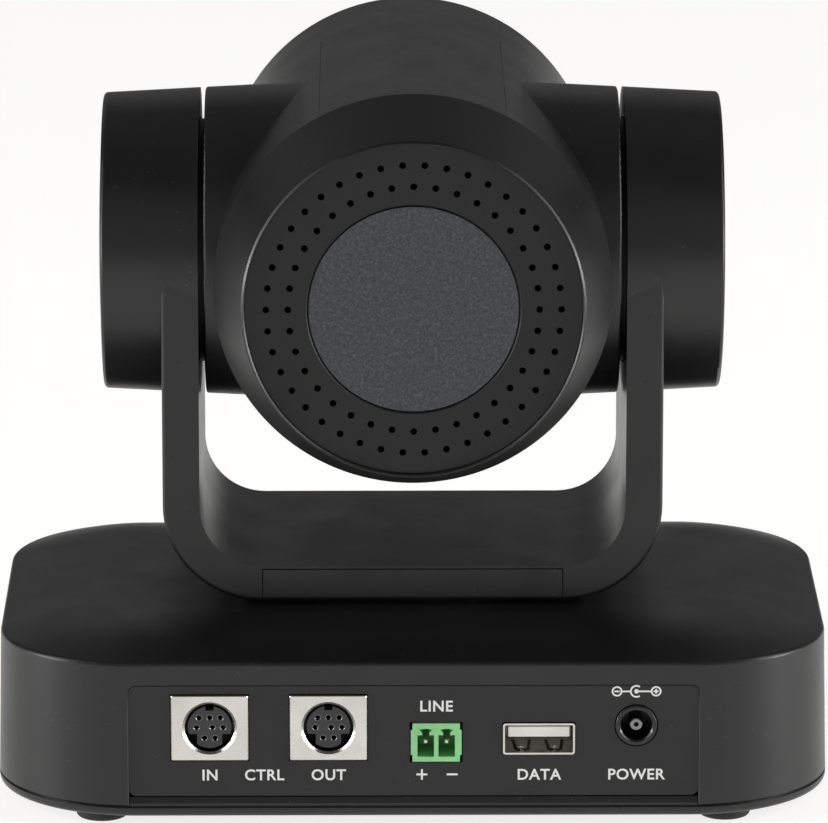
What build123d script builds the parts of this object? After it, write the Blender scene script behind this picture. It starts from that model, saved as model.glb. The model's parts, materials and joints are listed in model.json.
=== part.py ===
from build123d import *
import os
from math import acos, asin, cos, pi, radians, sin, tan

# Pan-tilt-zoom conference camera. Millimetres, +Z up.
# The origin is on the pan axis at the standing surface; the lens looks along +Y,
# and the connector panel faces -Y.

# ---------------------------------------------------------------- driving dimensions

# Base
BASE_WIDTH = 153.2
BASE_REAR_Y = -53.5
BASE_FRONT_Y = 44.0
BASE_CORNER_R = 26.0
BASE_TOP_Z = 34.7
BASE_DRAFT = 1.2
BASE_CROWN = 12.0
BASE_CROWN_DROP = 3.7
BASE_CREST_R = 60.0
BASE_SHOULDER_R = 0.8
BASE_WALL = 2.2
BASE_ROOF = 2.4
FOOT_HEIGHT = 2.0
FOOT_R = 4.8
FOOT_PLUG_R = 3.4
FOOT_PLUG_DEPTH = 1.0
FOOT_INSET_X = 19.6
FOOT_EDGE_GAP = 8.2
BOTTOM_PLATE = 2.0
BOTTOM_EDGE_FILLET = 1.2
BASE_JOINT_BEVEL = 0.3
CLOSING_SCREW_INSET = 9.1
CLOSING_SCREW_Y = (-24.0, 14.0)
CLOSING_BOSS_R = 3.2

# Rear connector panel
PANEL_SIDE_MARGIN = 24.75
PANEL_TOP_Z = 26.7
PANEL_BOTTOM_Z = 5.9
PANEL_RECESS = 0.6
PANEL_THICK = 1.6
PANEL_FLANGE = 1.2
PANEL_FLANGE_LAP = 2.5
PANEL_CORNER_R = 1.4
PANEL_SLIT = 0.3
PANEL_WINDOW_BEVEL = 0.2
PANEL_WINDOW_FIT = 0.03

# Circuit board in the base
BOARD_SIDE_MARGIN = 17.6
BOARD_FRONT_Y = 34.0
BOARD_THICK = 1.6
BOARD_TOP_Z = 12.4
BOARD_EDGE_GAP = 0.6
BOARD_SCREW_INSET = 5.0
BOARD_SCREW_Y = (-22.0, 28.0)
STANDOFF_R = 3.0

# Connectors on the rear panel: centre X, centre Z and standard sizes
DIN_XS = {"in": -37.1, "out": -15.5}
DIN_Z = 18.85
DIN_FACE = (14.0, 12.3)
DIN_DEPTH = 12.8
DIN_PROUD = 0.4
DIN_SHEET = 0.5
DIN_MOUTH_R = 4.55
DIN_FLARE = 0.42
DIN_EDGE_BEVEL = 0.15
DIN_SLEEVE_WALL = 0.4
DIN_SLEEVE_LENGTH = 6.0
DIN_CORE_R = 3.95
DIN_CORE_SET_BACK = 0.8
DIN_CONTACT_R = 0.55
HEADER_X = 4.1
HEADER_Z = 16.03
HEADER_SIZE = (9.24, 7.2)
HEADER_DEPTH = 9.0
HEADER_WALL = 0.9
HEADER_CAVITY_DEPTH = 7.0
HEADER_PITCH = 3.81
HEADER_PIN = 1.0
USB_X = 22.8
USB_Z = 16.67
USB_SIZE = (13.1, 5.9)
USB_DEPTH = 13.6
USB_SHEET = 0.35
USB_PROUD = 0.3
USB_TONGUE = (11.1, 1.85)
JACK_X = 40.5
JACK_Z = 19.15
JACK_BODY = (9.0, 11.0)
JACK_NOSE_R = 3.82
JACK_BORE_R = 2.85
JACK_BORE_DEPTH = 9.0
JACK_PROUD = 0.3
JACK_NOSE_ROUND = 0.35
JACK_PIN_R = 1.25
JACK_PIN_SET_BACK = 0.9
JACK_PIN_TAIL = 1.0
JACK_SLOT_R = 0.45
CONNECTOR_GAP = 0.2

# Front window for the remote-control receiver
IR_WINDOW = (30.0, 9.0)
IR_WINDOW_Z = 19.0

# Tripod thread in the underside (1/4 inch, 20 threads per inch, minor diameter)
TRIPOD_R = 2.6
TRIPOD_OUTER_R = 4.6
TRIPOD_FLANGE_R = 6.5
TRIPOD_FLANGE = 0.8
TRIPOD_LENGTH = 7.0

# Pan drive
PAN_GAP = 1.0
PAN_OPENING_R = 12.2
HUB_NECK_CLEAR = 0.4
SHAFT_SHOULDER = 1.0
PINION_SHAFT_R = 1.0
TILT_PINION_SHAFT_R = 0.8
HUB_FLANGE_R = 20.0
HUB_FLANGE_CLEAR = 0.25
PAN_SHAFT_R = 6.0
CABLE_BORE_R = 3.6
BEARING_OUTER_R = 10.5
BEARING_WIDTH = 5.0
PAN_PLATE_Z = 24.0
PAN_PLATE_THICK = 2.0
PAN_PLATE_HALF_X = 38.0
PAN_PLATE_Y = (-17.0, 36.5)
PAN_POST_X = 32.0
PAN_POST_Y = (-11.0, 31.0)
PAN_POST_R = 3.4
PAN_GEAR_Z = 27.4
PAN_GEAR_FACE = 3.0
GEAR_MODULE = 0.5
PAN_TEETH = 80
PAN_PINION_TEETH = 16
PAN_MOTOR_R = 9.5
PAN_MOTOR_LENGTH = 9.4

# Yoke
YOKE_ARM = 6.8
YOKE_SIDE_GAP = 1.0
YOKE_BAR = 6.6
YOKE_OUTER_R = 18.0
YOKE_INNER_R = 11.4
YOKE_WALL = 1.6
YOKE_EDGE = 0.8
YOKE_FRONT_ROUND = 3.0
BAR_COVER_HALF = 27.7
SEAM = 0.12
BAR_COVER_WALL = 1.2
BAR_LIP = 0.45
BAR_COVER_BEVEL = 0.12
SPINE_THICK = 1.5
SPINE_END_MARGIN = 2.2
SPINE_HALF_Y = 21.0
SPINE_SCREW_Y = 14.0
SPINE_PAD_R = 3.0
SPINE_PAD = 1.0
SPINE_HEAD_SET = 0.3

# Drums and tilt drive
TILT_Z = 97.6
DRUM_R_AT_GAP = 28.42
DRUM_TAPER = 3.0
DRUM_LENGTH = 11.9
DRUM_DOME = 0.8
DRUM_WALL = 1.8
DRUM_CAP_THICK = 1.4
DRUM_PLATE_THICK = 1.6
WEB_GAP = 0.8
WEB_THICK = 2.0
TILT_BOSS_R = 7.0
TILT_BOSS_LENGTH = 5.8
TILT_BUSH_R = 5.6
TILT_SHAFT_R = 4.0
HUB_R = 22.6
HUB_CLEAR = 0.4
TILT_GEAR_GAP = 0.6
TILT_GEAR_FACE = 3.0
TILT_TEETH = 48
TILT_PINION_TEETH = 12
TILT_MOTOR_R = 7.4
TILT_MOTOR_BOSS_R = 2.5
TILT_MOTOR_LENGTH = 8.4

# Head
STUB_PROUD = 2.0
TRUNNION_PLUG_R = 9.0
STUB_END_WALL = 2.0
STUB_EDGE = 0.5
BARREL_RIM_Y = -40.0
BARREL_RIM_R = 36.2
BARREL_FRONT_Y = 50.0
BARREL_FRONT_R = 35.33
BARREL_WALL = 2.2
CAP_REAR_Y = -56.0
CAP_REAR_R = 30.95
CAP_WALL = 2.0
CAP_LIP = 0.6
CAP_SPIGOT = 4.0
CAP_EDGE_BEVEL = 0.3
CAP_LIP_BEVEL = 0.25
VENT_RECESS = 0.7
VENT_THICK = 1.5
VENT_HOLE_R = 0.62
VENT_RINGS = ((26.46, 42, 0.0), (22.53, 36, 90.0))
BADGE_R = 18.8
BADGE_GAP = 0.2
BADGE_POCKET = 0.8
BADGE_POCKET_BEVEL = 0.3
BADGE_THICK = 0.7
TOP_PANEL_HALF = 16.9
TOP_PANEL_REAR_SET = 1.5
TOP_PANEL_FRONT_Y = 30.0
TOP_PANEL_THICK = 1.1
BEZEL_FRONT_Y = 56.0
BEZEL_SHOULDER_Y = 53.1
BEZEL_FACE_R = 31.5
BEZEL_MOUTH_R = 22.0
BEZEL_WALL = 2.0
BEZEL_SPIGOT = 4.0
WINDOW_R = 24.0
WINDOW_THICK = 1.5
WINDOW_SET_BACK = 1.5

# Lens assembly inside the head
CHASSIS_Y = -10.0
CHASSIS_THICK = 2.0
CHASSIS_GAP = 0.6
CHASSIS_SCREW_RING = 30.3
CHASSIS_BOSS_R = 3.6
CHASSIS_BOSS_LENGTH = 12.0
CHASSIS_EYE_R = 8.0
TUBE_OUTER_R = 17.4
TUBE_INNER_R = 15.8
TUBE_FRONT_Y = 47.0
TUBE_FLANGE_R = 21.0
TUBE_FLANGE = 1.6
TUBE_FLOOR = 1.6
FRONT_LENS_R = 14.6
FRONT_LENS_Y = 42.0
FRONT_LENS_EDGE = 2.2
FRONT_LENS_SAG = 2.6
LENS_SEAT = 1.0
LENS_SEAT_GAP = 0.5
ROD_R = 0.8
ROD_OFFSET = 13.3
ZOOM_Y = 17.0
FOCUS_Y = 1.0
CARRIER_R = 15.2
CARRIER_LENGTH = 5.0
ZOOM_LENS_R = 10.0
FOCUS_LENS_R = 8.5
GROUP_LENS_EDGE = 1.6
GROUP_LENS_SAG = 1.5
SENSOR_BOARD = 36.0
SENSOR_BOARD_GAP = 2.4
SENSOR_SIZE = (13.0, 11.0)
SENSOR_THICK = 1.2

# Clearances and fasteners
RUNNING = 0.05
SLIP = 0.1
SCREW_R = 1.2
SCREW_HOLE_R = 1.25
SCREW_HEAD_R = 2.3
SCREW_HEAD = 1.4
SCREW_LENGTH = 7.0
SCREW_SOCKET_R = 1.0
SCREW_SOCKET_DEPTH = 0.7

# ---------------------------------------------------------------- derived places

HOUSING_BOTTOM_Z = FOOT_HEIGHT + BOTTOM_PLATE
FOOT_X = BASE_WIDTH / 2 - FOOT_INSET_X
CLOSING_SCREW_X = BASE_WIDTH / 2 - CLOSING_SCREW_INSET
PANEL_WIDTH = BASE_WIDTH - 2 * PANEL_SIDE_MARGIN
BOARD_WIDTH = BASE_WIDTH - 2 * BOARD_SIDE_MARGIN
BOARD_SCREW_X = BOARD_WIDTH / 2 - BOARD_SCREW_INSET
BASE_DEPTH = BASE_FRONT_Y - BASE_REAR_Y
BASE_MID_Y = (BASE_FRONT_Y + BASE_REAR_Y) / 2
CAVITY_TOP_Z = BASE_TOP_Z - BASE_ROOF
PANEL_FACE_Y = BASE_REAR_Y + PANEL_RECESS
PANEL_BACK_Y = PANEL_FACE_Y + PANEL_THICK
FLANGE_BACK_Y = PANEL_BACK_Y + PANEL_FLANGE
BOARD_REAR_Y = FLANGE_BACK_Y + BOARD_EDGE_GAP
BOARD_BOTTOM_Z = BOARD_TOP_Z - BOARD_THICK
FOOT_YS = (BASE_REAR_Y + FOOT_EDGE_GAP, BASE_FRONT_Y - FOOT_EDGE_GAP)
HUB_NECK_R = PAN_OPENING_R - HUB_NECK_CLEAR
STUB_END_HALF = BARREL_RIM_R + STUB_PROUD
YOKE_INNER_HALF = STUB_END_HALF + YOKE_SIDE_GAP
YOKE_OUTER_HALF = YOKE_INNER_HALF + YOKE_ARM
DRUM_END_HALF = YOKE_OUTER_HALF + DRUM_LENGTH
PLATE_SEAT_X = YOKE_INNER_HALF + DRUM_PLATE_THICK
TILT_GEAR_X = PLATE_SEAT_X + TILT_GEAR_GAP
WEB_X = TILT_GEAR_X + TILT_GEAR_FACE + WEB_GAP
TILT_BOSS_END = WEB_X + TILT_BOSS_LENGTH
YOKE_BOTTOM_Z = BASE_TOP_Z + PAN_GAP
BAR_TOP_Z = YOKE_BOTTOM_Z + YOKE_BAR
SPINE_SCREW_X = BAR_COVER_HALF + SEAM + SPINE_PAD_R
SPINE_HALF_X = SPINE_SCREW_X + SPINE_END_MARGIN
SPINE_Z = YOKE_BOTTOM_Z + YOKE_WALL + SPINE_PAD
SPINE_HEAD_Z = YOKE_BOTTOM_Z + SPINE_HEAD_SET + SCREW_HEAD
DRUM_SLOPE = tan(radians(DRUM_TAPER))
BARREL_SLOPE = (BARREL_RIM_R - BARREL_FRONT_R) / (BARREL_FRONT_Y - BARREL_RIM_Y)
HUB_FACE_X = STUB_END_HALF
HUB_THICK = PLATE_SEAT_X - STUB_END_HALF
PAN_CENTRES = GEAR_MODULE * (PAN_TEETH + PAN_PINION_TEETH) / 2
TILT_CENTRES = GEAR_MODULE * (TILT_TEETH + TILT_PINION_TEETH) / 2
BEARING_BOTTOM_Z = PAN_PLATE_Z + PAN_PLATE_THICK - BEARING_WIDTH
VENT_FACE_Y = CAP_REAR_Y + VENT_RECESS
CHASSIS_BACK_Y = CHASSIS_Y - CHASSIS_THICK
TILT_AXIS = Axis((0, 0, TILT_Z), (1, 0, 0))
LENS_AXIS = Axis((0, 0, TILT_Z), (0, 1, 0))
SIDES = {"left": -1, "right": 1}


def drum_radius(x):
    """Outer radius of the drums and stubs at a distance x from the centre plane."""
    return DRUM_R_AT_GAP - DRUM_SLOPE * (abs(x) - YOKE_INNER_HALF)


def barrel_radius(y):
    """Outer radius of the head's barrel at a place y along the lens axis."""
    return BARREL_RIM_R - BARREL_SLOPE * (y - BARREL_RIM_Y)


def four_spots(half_x, ys):
    """Places at plus and minus half_x for each Y."""
    return [(x, y) for x in (-half_x, half_x) for y in ys]


ARM_HALF_DEPTH = drum_radius(YOKE_OUTER_HALF)
closing_spots = four_spots(CLOSING_SCREW_X, CLOSING_SCREW_Y)
standoff_spots = four_spots(BOARD_SCREW_X, BOARD_SCREW_Y)
foot_spots = four_spots(FOOT_X, FOOT_YS)
post_spots = four_spots(PAN_POST_X, PAN_POST_Y)
spine_spots = four_spots(SPINE_SCREW_X, (-SPINE_SCREW_Y, SPINE_SCREW_Y))
right_spine_spots = [(x, y) for x, y in spine_spots if x > 0]

# ---------------------------------------------------------------- profile helpers


def outline(plane, points):
    """A closed straight-sided face on a plane."""
    with BuildSketch(plane) as sketch:
        with BuildLine():
            Polyline(*points, close=True)
        make_face()
    return sketch.sketch


def cap_arc(pole, rim):
    """Arc of a sphere centred on the axis at TILT_Z, from its pole to its rim."""
    height = rim[1] - TILT_Z
    rise = rim[0] - pole[0]
    sphere_r = (height**2 + rise**2) / (2 * abs(rise))
    half_angle = asin(height / sphere_r) / 2
    along = sphere_r * (1 - cos(half_angle)) * (1 if rise > 0 else -1)
    return ThreePointArc(pole, (pole[0] + along, TILT_Z + sphere_r * sin(half_angle)), rim)


def lens_profile(y, radius, edge, sag):
    """Half-section of a biconvex lens whose rim starts at y; it turns about the lens axis."""
    with BuildSketch(Plane.YZ) as sketch:
        with BuildLine():
            rear_rim = (y, TILT_Z + radius)
            front_rim = (y + edge, TILT_Z + radius)
            cap_arc((y - sag, TILT_Z), rear_rim)
            Line(rear_rim, front_rim)
            cap_arc((y + edge + sag, TILT_Z), front_rim)
            Line((y + edge + sag, TILT_Z), (y - sag, TILT_Z))
        make_face()
    return sketch.sketch


def involute_angle(radius, base_radius):
    """Angle swept by an involute between its base circle and a radius."""
    if radius <= base_radius:
        return 0.0
    pressure = acos(base_radius / radius)
    return tan(pressure) - pressure


def gear_face(plane, centre, teeth, first_tooth, bore_r, backlash=0.12):
    """A spur-gear face with involute flanks; first_tooth is a tooth's angle in degrees."""
    pitch_r = GEAR_MODULE * teeth / 2
    base_r = pitch_r * cos(radians(20))
    tip_r = pitch_r + 0.75 * GEAR_MODULE
    root_r = pitch_r - 1.15 * GEAR_MODULE
    half_pitch = (pi * GEAR_MODULE / 2 - backlash) / 2 / pitch_r + involute_angle(pitch_r, base_r)
    steps = 4
    radii = [root_r - 0.2] + [max(root_r, base_r) + (tip_r - max(root_r, base_r)) * i / steps
                              for i in range(steps + 1)]
    right = [(r, -(half_pitch - involute_angle(r, base_r))) for r in radii]
    left = [(r, -a) for r, a in reversed(right)]
    tooth = [(r * cos(a), r * sin(a)) for r, a in right + left]
    with BuildSketch(plane) as sketch:
        with Locations(centre):
            Circle(root_r)
            with PolarLocations(0, teeth, start_angle=first_tooth):
                Polygon(*tooth, align=None)
        if bore_r > 0:
            with Locations(centre):
                Circle(bore_r, mode=Mode.SUBTRACT)
    return sketch.sketch


def save(part, name):
    part.label = name
    export_step(part, f"parts/{name}.step")


os.makedirs("parts", exist_ok=True)

# ---------------------------------------------------------------- base housing

with BuildPart() as base_cavity:
    with BuildSketch(Plane.XY.offset(HOUSING_BOTTOM_Z)):
        with Locations((0, BASE_MID_Y)):
            RectangleRounded(
                BASE_WIDTH - 2 * BASE_WALL, BASE_DEPTH - 2 * BASE_WALL, BASE_CORNER_R - BASE_WALL
            )
    extrude(amount=CAVITY_TOP_Z - HOUSING_BOTTOM_Z, taper=BASE_DRAFT)
    ceiling = base_cavity.faces().sort_by(Axis.Z)[-1]
    chamfer(ceiling.edges(), length=BASE_CROWN, length2=BASE_CROWN_DROP, reference=ceiling)

with BuildPart() as base_housing:
    with BuildSketch(Plane.XY.offset(HOUSING_BOTTOM_Z)):
        with Locations((0, BASE_MID_Y)):
            RectangleRounded(BASE_WIDTH, BASE_DEPTH, BASE_CORNER_R)
    extrude(amount=BASE_TOP_Z - HOUSING_BOTTOM_Z, taper=BASE_DRAFT)
    # crowned top: a broad slope round the flat middle, blended at its crest and its shoulder
    base_top = base_housing.faces().sort_by(Axis.Z)[-1]
    chamfer(base_top.edges(), length=BASE_CROWN, length2=BASE_CROWN_DROP, reference=base_top)
    fillet(base_housing.faces().sort_by(Axis.Z)[-1].edges(), radius=BASE_CREST_R)
    shoulder = base_housing.edges().filter_by(
        lambda e: abs(e.center().Z - BASE_TOP_Z + BASE_CROWN_DROP) < 0.1
    )
    fillet(shoulder, radius=BASE_SHOULDER_R)
    chamfer(base_housing.edges().group_by(Axis.Z)[0], length=BASE_JOINT_BEVEL)
    base_block = base_housing.part
    add(base_cavity.part, mode=Mode.SUBTRACT)
    # flat land behind the connector panel's flange
    land_top = PANEL_TOP_Z + PANEL_FLANGE_LAP + SLIP
    with BuildSketch(Plane.XZ.offset(-PANEL_BACK_Y)):
        with Locations((0, (HOUSING_BOTTOM_Z + land_top) / 2)):
            Rectangle(PANEL_WIDTH + 2 * PANEL_FLANGE_LAP + 2, land_top - HOUSING_BOTTOM_Z)
    extrude(amount=-PANEL_FLANGE - 1, mode=Mode.SUBTRACT)
    # panel window, open downwards so that the panel slides in
    window_half = PANEL_WIDTH / 2 + PANEL_WINDOW_FIT
    window_top = PANEL_TOP_Z + PANEL_WINDOW_FIT
    with BuildSketch(Plane.XZ.offset(-PANEL_BACK_Y - 1)):
        with Locations((0, window_top / 2)):
            RectangleRounded(2 * window_half, window_top, PANEL_CORNER_R + PANEL_WINDOW_FIT)
    extrude(amount=2 * BASE_WALL + 1, mode=Mode.SUBTRACT)
    window_rim = (
        base_housing.edges()
        .filter_by_position(Axis.X, -window_half - 0.01, window_half + 0.01)
        .filter_by_position(Axis.Y, BASE_REAR_Y, PANEL_FACE_Y)
        .filter_by_position(Axis.Z, HOUSING_BOTTOM_Z + 1, window_top + 0.01)
    )
    chamfer(window_rim, length=PANEL_WINDOW_BEVEL)
    # posts for the pan plate and bosses for the closing screws
    with BuildSketch(Plane.XY.offset(PAN_PLATE_Z + PAN_PLATE_THICK)):
        with Locations(post_spots):
            Circle(PAN_POST_R)
    extrude(amount=CAVITY_TOP_Z - PAN_PLATE_Z - PAN_PLATE_THICK + 0.5)
    with BuildSketch(Plane.XY.offset(HOUSING_BOTTOM_Z)):
        with Locations(closing_spots):
            Circle(CLOSING_BOSS_R)
    extrude(amount=CAVITY_TOP_Z - HOUSING_BOTTOM_Z - 0.5)
    # screw holes
    with BuildSketch(Plane.XY.offset(HOUSING_BOTTOM_Z)):
        with Locations(closing_spots):
            Circle(SCREW_HOLE_R)
    extrude(amount=SCREW_LENGTH, mode=Mode.SUBTRACT)
    with BuildSketch(Plane.XY.offset(PAN_PLATE_Z + PAN_PLATE_THICK)):
        with Locations(post_spots):
            Circle(SCREW_HOLE_R)
    extrude(amount=SCREW_LENGTH - PAN_PLATE_THICK, mode=Mode.SUBTRACT)
    # opening for the pan hub
    with BuildSketch(Plane.XY.offset(CAVITY_TOP_Z - 1)):
        Circle(PAN_OPENING_R)
    extrude(amount=BASE_ROOF + 2, mode=Mode.SUBTRACT)
    # front window opening
    with BuildSketch(Plane.XZ.offset(-BASE_FRONT_Y - 1)):
        with Locations((0, IR_WINDOW_Z)):
            RectangleRounded(IR_WINDOW[0] + 2 * SLIP, IR_WINDOW[1] + 2 * SLIP, IR_WINDOW[1] / 2 - 0.1)
    extrude(amount=2 * BASE_WALL + 1, mode=Mode.SUBTRACT)
save(base_housing.part, "base_housing")

# ---------------------------------------------------------------- bottom plate and feet

with BuildPart() as bottom_plate:
    with BuildSketch(Plane.XY.offset(FOOT_HEIGHT)):
        with Locations((0, BASE_MID_Y)):
            RectangleRounded(BASE_WIDTH, BASE_DEPTH, BASE_CORNER_R)
    extrude(amount=BOTTOM_PLATE)
    fillet(bottom_plate.edges().group_by(Axis.Z)[0], radius=BOTTOM_EDGE_FILLET)
    chamfer(bottom_plate.edges().group_by(Axis.Z)[-1], length=BASE_JOINT_BEVEL)
    # standoffs under the circuit board and a boss round the tripod insert
    with BuildSketch(Plane.XY.offset(HOUSING_BOTTOM_Z - 0.5)):
        with Locations(standoff_spots):
            Circle(STANDOFF_R)
    extrude(amount=BOARD_BOTTOM_Z - HOUSING_BOTTOM_Z + 0.5)
    with BuildSketch(Plane.XY.offset(HOUSING_BOTTOM_Z - 0.5)):
        Circle(TRIPOD_OUTER_R + 2)
    extrude(amount=TRIPOD_LENGTH - BOTTOM_PLATE + 1)
    # sill that closes the window under the connector panel
    with BuildSketch(Plane.YZ):
        with BuildLine():
            Polyline(
                (PANEL_FACE_Y - 0.2, HOUSING_BOTTOM_Z - 0.5),
                (PANEL_FACE_Y - 0.2, HOUSING_BOTTOM_Z + 0.5),
                (PANEL_FACE_Y + 0.3, PANEL_BOTTOM_Z - PANEL_SLIT),
                (PANEL_BACK_Y - 0.2, PANEL_BOTTOM_Z - PANEL_SLIT),
                (PANEL_BACK_Y - 0.2, HOUSING_BOTTOM_Z - 0.5),
                close=True,
            )
        make_face()
    extrude(amount=PANEL_WIDTH / 2 - SLIP, both=True)
    with BuildSketch(Plane.XY.offset(FOOT_HEIGHT)):
        with Locations(closing_spots):
            Circle(SCREW_HOLE_R)
    extrude(amount=BOTTOM_PLATE, mode=Mode.SUBTRACT)
    with BuildSketch(Plane.XY.offset(FOOT_HEIGHT)):
        with Locations(closing_spots):
            Circle(SCREW_HEAD_R + SLIP)
    extrude(amount=SCREW_HEAD, mode=Mode.SUBTRACT)
    with BuildSketch(Plane.XY.offset(HOUSING_BOTTOM_Z)):
        with Locations(standoff_spots):
            Circle(SCREW_HOLE_R)
    extrude(amount=BOARD_BOTTOM_Z - HOUSING_BOTTOM_Z, mode=Mode.SUBTRACT)
    with BuildSketch(Plane.XY.offset(FOOT_HEIGHT)):
        with Locations(foot_spots):
            Circle(FOOT_PLUG_R)
    extrude(amount=FOOT_PLUG_DEPTH, mode=Mode.SUBTRACT)
    with BuildSketch(Plane.XY.offset(FOOT_HEIGHT)):
        Circle(TRIPOD_FLANGE_R)
    extrude(amount=TRIPOD_FLANGE, mode=Mode.SUBTRACT)
    with BuildSketch(Plane.XY.offset(FOOT_HEIGHT)):
        Circle(TRIPOD_OUTER_R)
    extrude(amount=TRIPOD_LENGTH, mode=Mode.SUBTRACT)
save(bottom_plate.part, "bottom_plate")

with BuildPart() as rubber_feet:
    with BuildSketch(Plane.XY):
        with Locations(foot_spots):
            Circle(FOOT_R)
    extrude(amount=FOOT_HEIGHT)
    fillet(rubber_feet.edges().group_by(Axis.Z)[0], radius=0.8)
    with BuildSketch(Plane.XY.offset(FOOT_HEIGHT)):
        with Locations(foot_spots):
            Circle(FOOT_PLUG_R)
    extrude(amount=FOOT_PLUG_DEPTH)
save(rubber_feet.part, "rubber_feet")

with BuildPart() as tripod_insert:
    with BuildSketch(Plane.XY.offset(FOOT_HEIGHT)):
        Circle(TRIPOD_FLANGE_R)
    extrude(amount=TRIPOD_FLANGE)
    with BuildSketch(Plane.XY.offset(FOOT_HEIGHT)):
        Circle(TRIPOD_OUTER_R)
    extrude(amount=TRIPOD_LENGTH)
    with BuildSketch(Plane.XY.offset(FOOT_HEIGHT)):
        Circle(TRIPOD_R)
    extrude(amount=TRIPOD_LENGTH - 1, mode=Mode.SUBTRACT)
save(tripod_insert.part, "tripod_insert")


def screws(plane, spots, length):
    """Pan-head screws whose heads rest on a plane, shanks along its normal."""
    with BuildPart() as group:
        with BuildSketch(plane):
            with Locations(spots):
                Circle(SCREW_R)
        extrude(amount=length)
        with BuildSketch(plane):
            with Locations(spots):
                Circle(SCREW_HEAD_R)
        extrude(amount=-SCREW_HEAD)
        with BuildSketch(plane.offset(-SCREW_HEAD)):
            with Locations(spots):
                RegularPolygon(SCREW_SOCKET_R, 6)
        extrude(amount=SCREW_SOCKET_DEPTH, mode=Mode.SUBTRACT)
    return group.part


# ---------------------------------------------------------------- circuit board in the base

with BuildPart() as main_board:
    with BuildSketch(Plane.XY.offset(BOARD_BOTTOM_Z)):
        with Locations((0, (BOARD_REAR_Y + BOARD_FRONT_Y) / 2)):
            RectangleRounded(BOARD_WIDTH, BOARD_FRONT_Y - BOARD_REAR_Y, 2)
        with Locations(standoff_spots):
            Circle(SCREW_HOLE_R, mode=Mode.SUBTRACT)
    extrude(amount=BOARD_THICK)
save(main_board.part, "main_board")

# Twelve alike screws: four close the base, four hold the board, four hold the pan plate.
board_screw_plane = Plane((0, 0, BOARD_TOP_Z), x_dir=(1, 0, 0), z_dir=(0, 0, -1))
base_screws = Compound(
    children=[
        screws(Plane.XY.offset(FOOT_HEIGHT + SCREW_HEAD), closing_spots, SCREW_LENGTH),
        screws(board_screw_plane, [(x, -y) for x, y in standoff_spots], SCREW_LENGTH),
        screws(Plane.XY.offset(PAN_PLATE_Z), post_spots, SCREW_LENGTH),
    ]
)
save(base_screws, "base_screws")

# ---------------------------------------------------------------- connectors


def panel_plane(y):
    """A plane across the connector panel, drawn in X and Z, its normal pointing out."""
    return Plane.XZ.offset(-y)


def din_shell(x):
    """Plated shell of a mini-DIN socket with a drawn sleeve round its mouth."""
    face_y = PANEL_FACE_Y - DIN_PROUD
    with BuildPart() as shell:
        with BuildSketch(panel_plane(face_y)):
            with Locations((x, DIN_Z)):
                RectangleRounded(*DIN_FACE, 0.3)
        extrude(amount=-DIN_DEPTH)
        chamfer(shell.edges().group_by(Axis.Y)[0], length=DIN_EDGE_BEVEL)
        with BuildSketch(panel_plane(face_y + DIN_SHEET)):
            with Locations((x, DIN_Z)):
                Rectangle(DIN_FACE[0] - 2 * DIN_SHEET, DIN_FACE[1] - 2 * DIN_SHEET)
        extrude(amount=-DIN_DEPTH, mode=Mode.SUBTRACT)
        with BuildSketch(panel_plane(face_y + DIN_SHEET / 2)):
            with Locations((x, DIN_Z)):
                Circle(DIN_MOUTH_R + DIN_SLEEVE_WALL)
        extrude(amount=-DIN_SLEEVE_LENGTH)
        with BuildSketch(panel_plane(face_y - 1)):
            with Locations((x, DIN_Z)):
                Circle(DIN_MOUTH_R)
        extrude(amount=-DIN_SLEEVE_LENGTH - 2, mode=Mode.SUBTRACT)
        # flared mouth
        mouth_rim = shell.edges().filter_by(GeomType.CIRCLE).filter_by(
            lambda e: abs(e.radius - DIN_MOUTH_R) < 0.01
        )
        chamfer(mouth_rim.group_by(Axis.Y)[0], length=DIN_FLARE)
    return shell.part


DIN_CONTACTS = (
    [(-1.95, 1.75), (0.0, 1.75), (1.95, 1.75)]
    + [(-2.4, -0.1), (0.5, -0.1), (2.45, -0.1)]
    + [(-0.98, -2.1), (0.98, -2.1)]
)


def din_insert(x):
    """Insulator of a mini-DIN socket: a keyed core on a block that fills the shell."""
    front_y = PANEL_FACE_Y - DIN_PROUD + DIN_CORE_SET_BACK
    block_y = PANEL_FACE_Y - DIN_PROUD + DIN_SHEET / 2 + DIN_SLEEVE_LENGTH + SLIP
    back_y = PANEL_FACE_Y - DIN_PROUD + DIN_DEPTH
    with BuildPart() as insert:
        with BuildSketch(panel_plane(front_y)):
            with Locations((x, DIN_Z)):
                Circle(DIN_CORE_R)
            with Locations((x, DIN_Z + DIN_CORE_R)):
                Rectangle(1.5, 1.6, mode=Mode.SUBTRACT)
            with Locations((x - 3.3, DIN_Z - 2.6), (x + 3.3, DIN_Z - 2.6)):
                Rectangle(2.0, 2.6, mode=Mode.SUBTRACT)
        extrude(amount=front_y - block_y - 1)
        with BuildSketch(panel_plane(block_y)):
            with Locations((x, DIN_Z)):
                Rectangle(
                    DIN_FACE[0] - 2 * DIN_SHEET - 2 * SLIP, DIN_FACE[1] - 2 * DIN_SHEET - 2 * SLIP
                )
        extrude(amount=block_y - back_y)
        with BuildSketch(panel_plane(front_y)):
            with Locations([(x + dx, DIN_Z + dz) for dx, dz in DIN_CONTACTS]):
                Circle(DIN_CONTACT_R)
        extrude(amount=-4, mode=Mode.SUBTRACT)
    return insert.part


for din_name, din_x in DIN_XS.items():
    save(din_shell(din_x), f"din_{din_name}_shell")
    save(din_insert(din_x), f"din_{din_name}_insert")

header_xs = (HEADER_X - HEADER_PITCH / 2, HEADER_X + HEADER_PITCH / 2)

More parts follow.
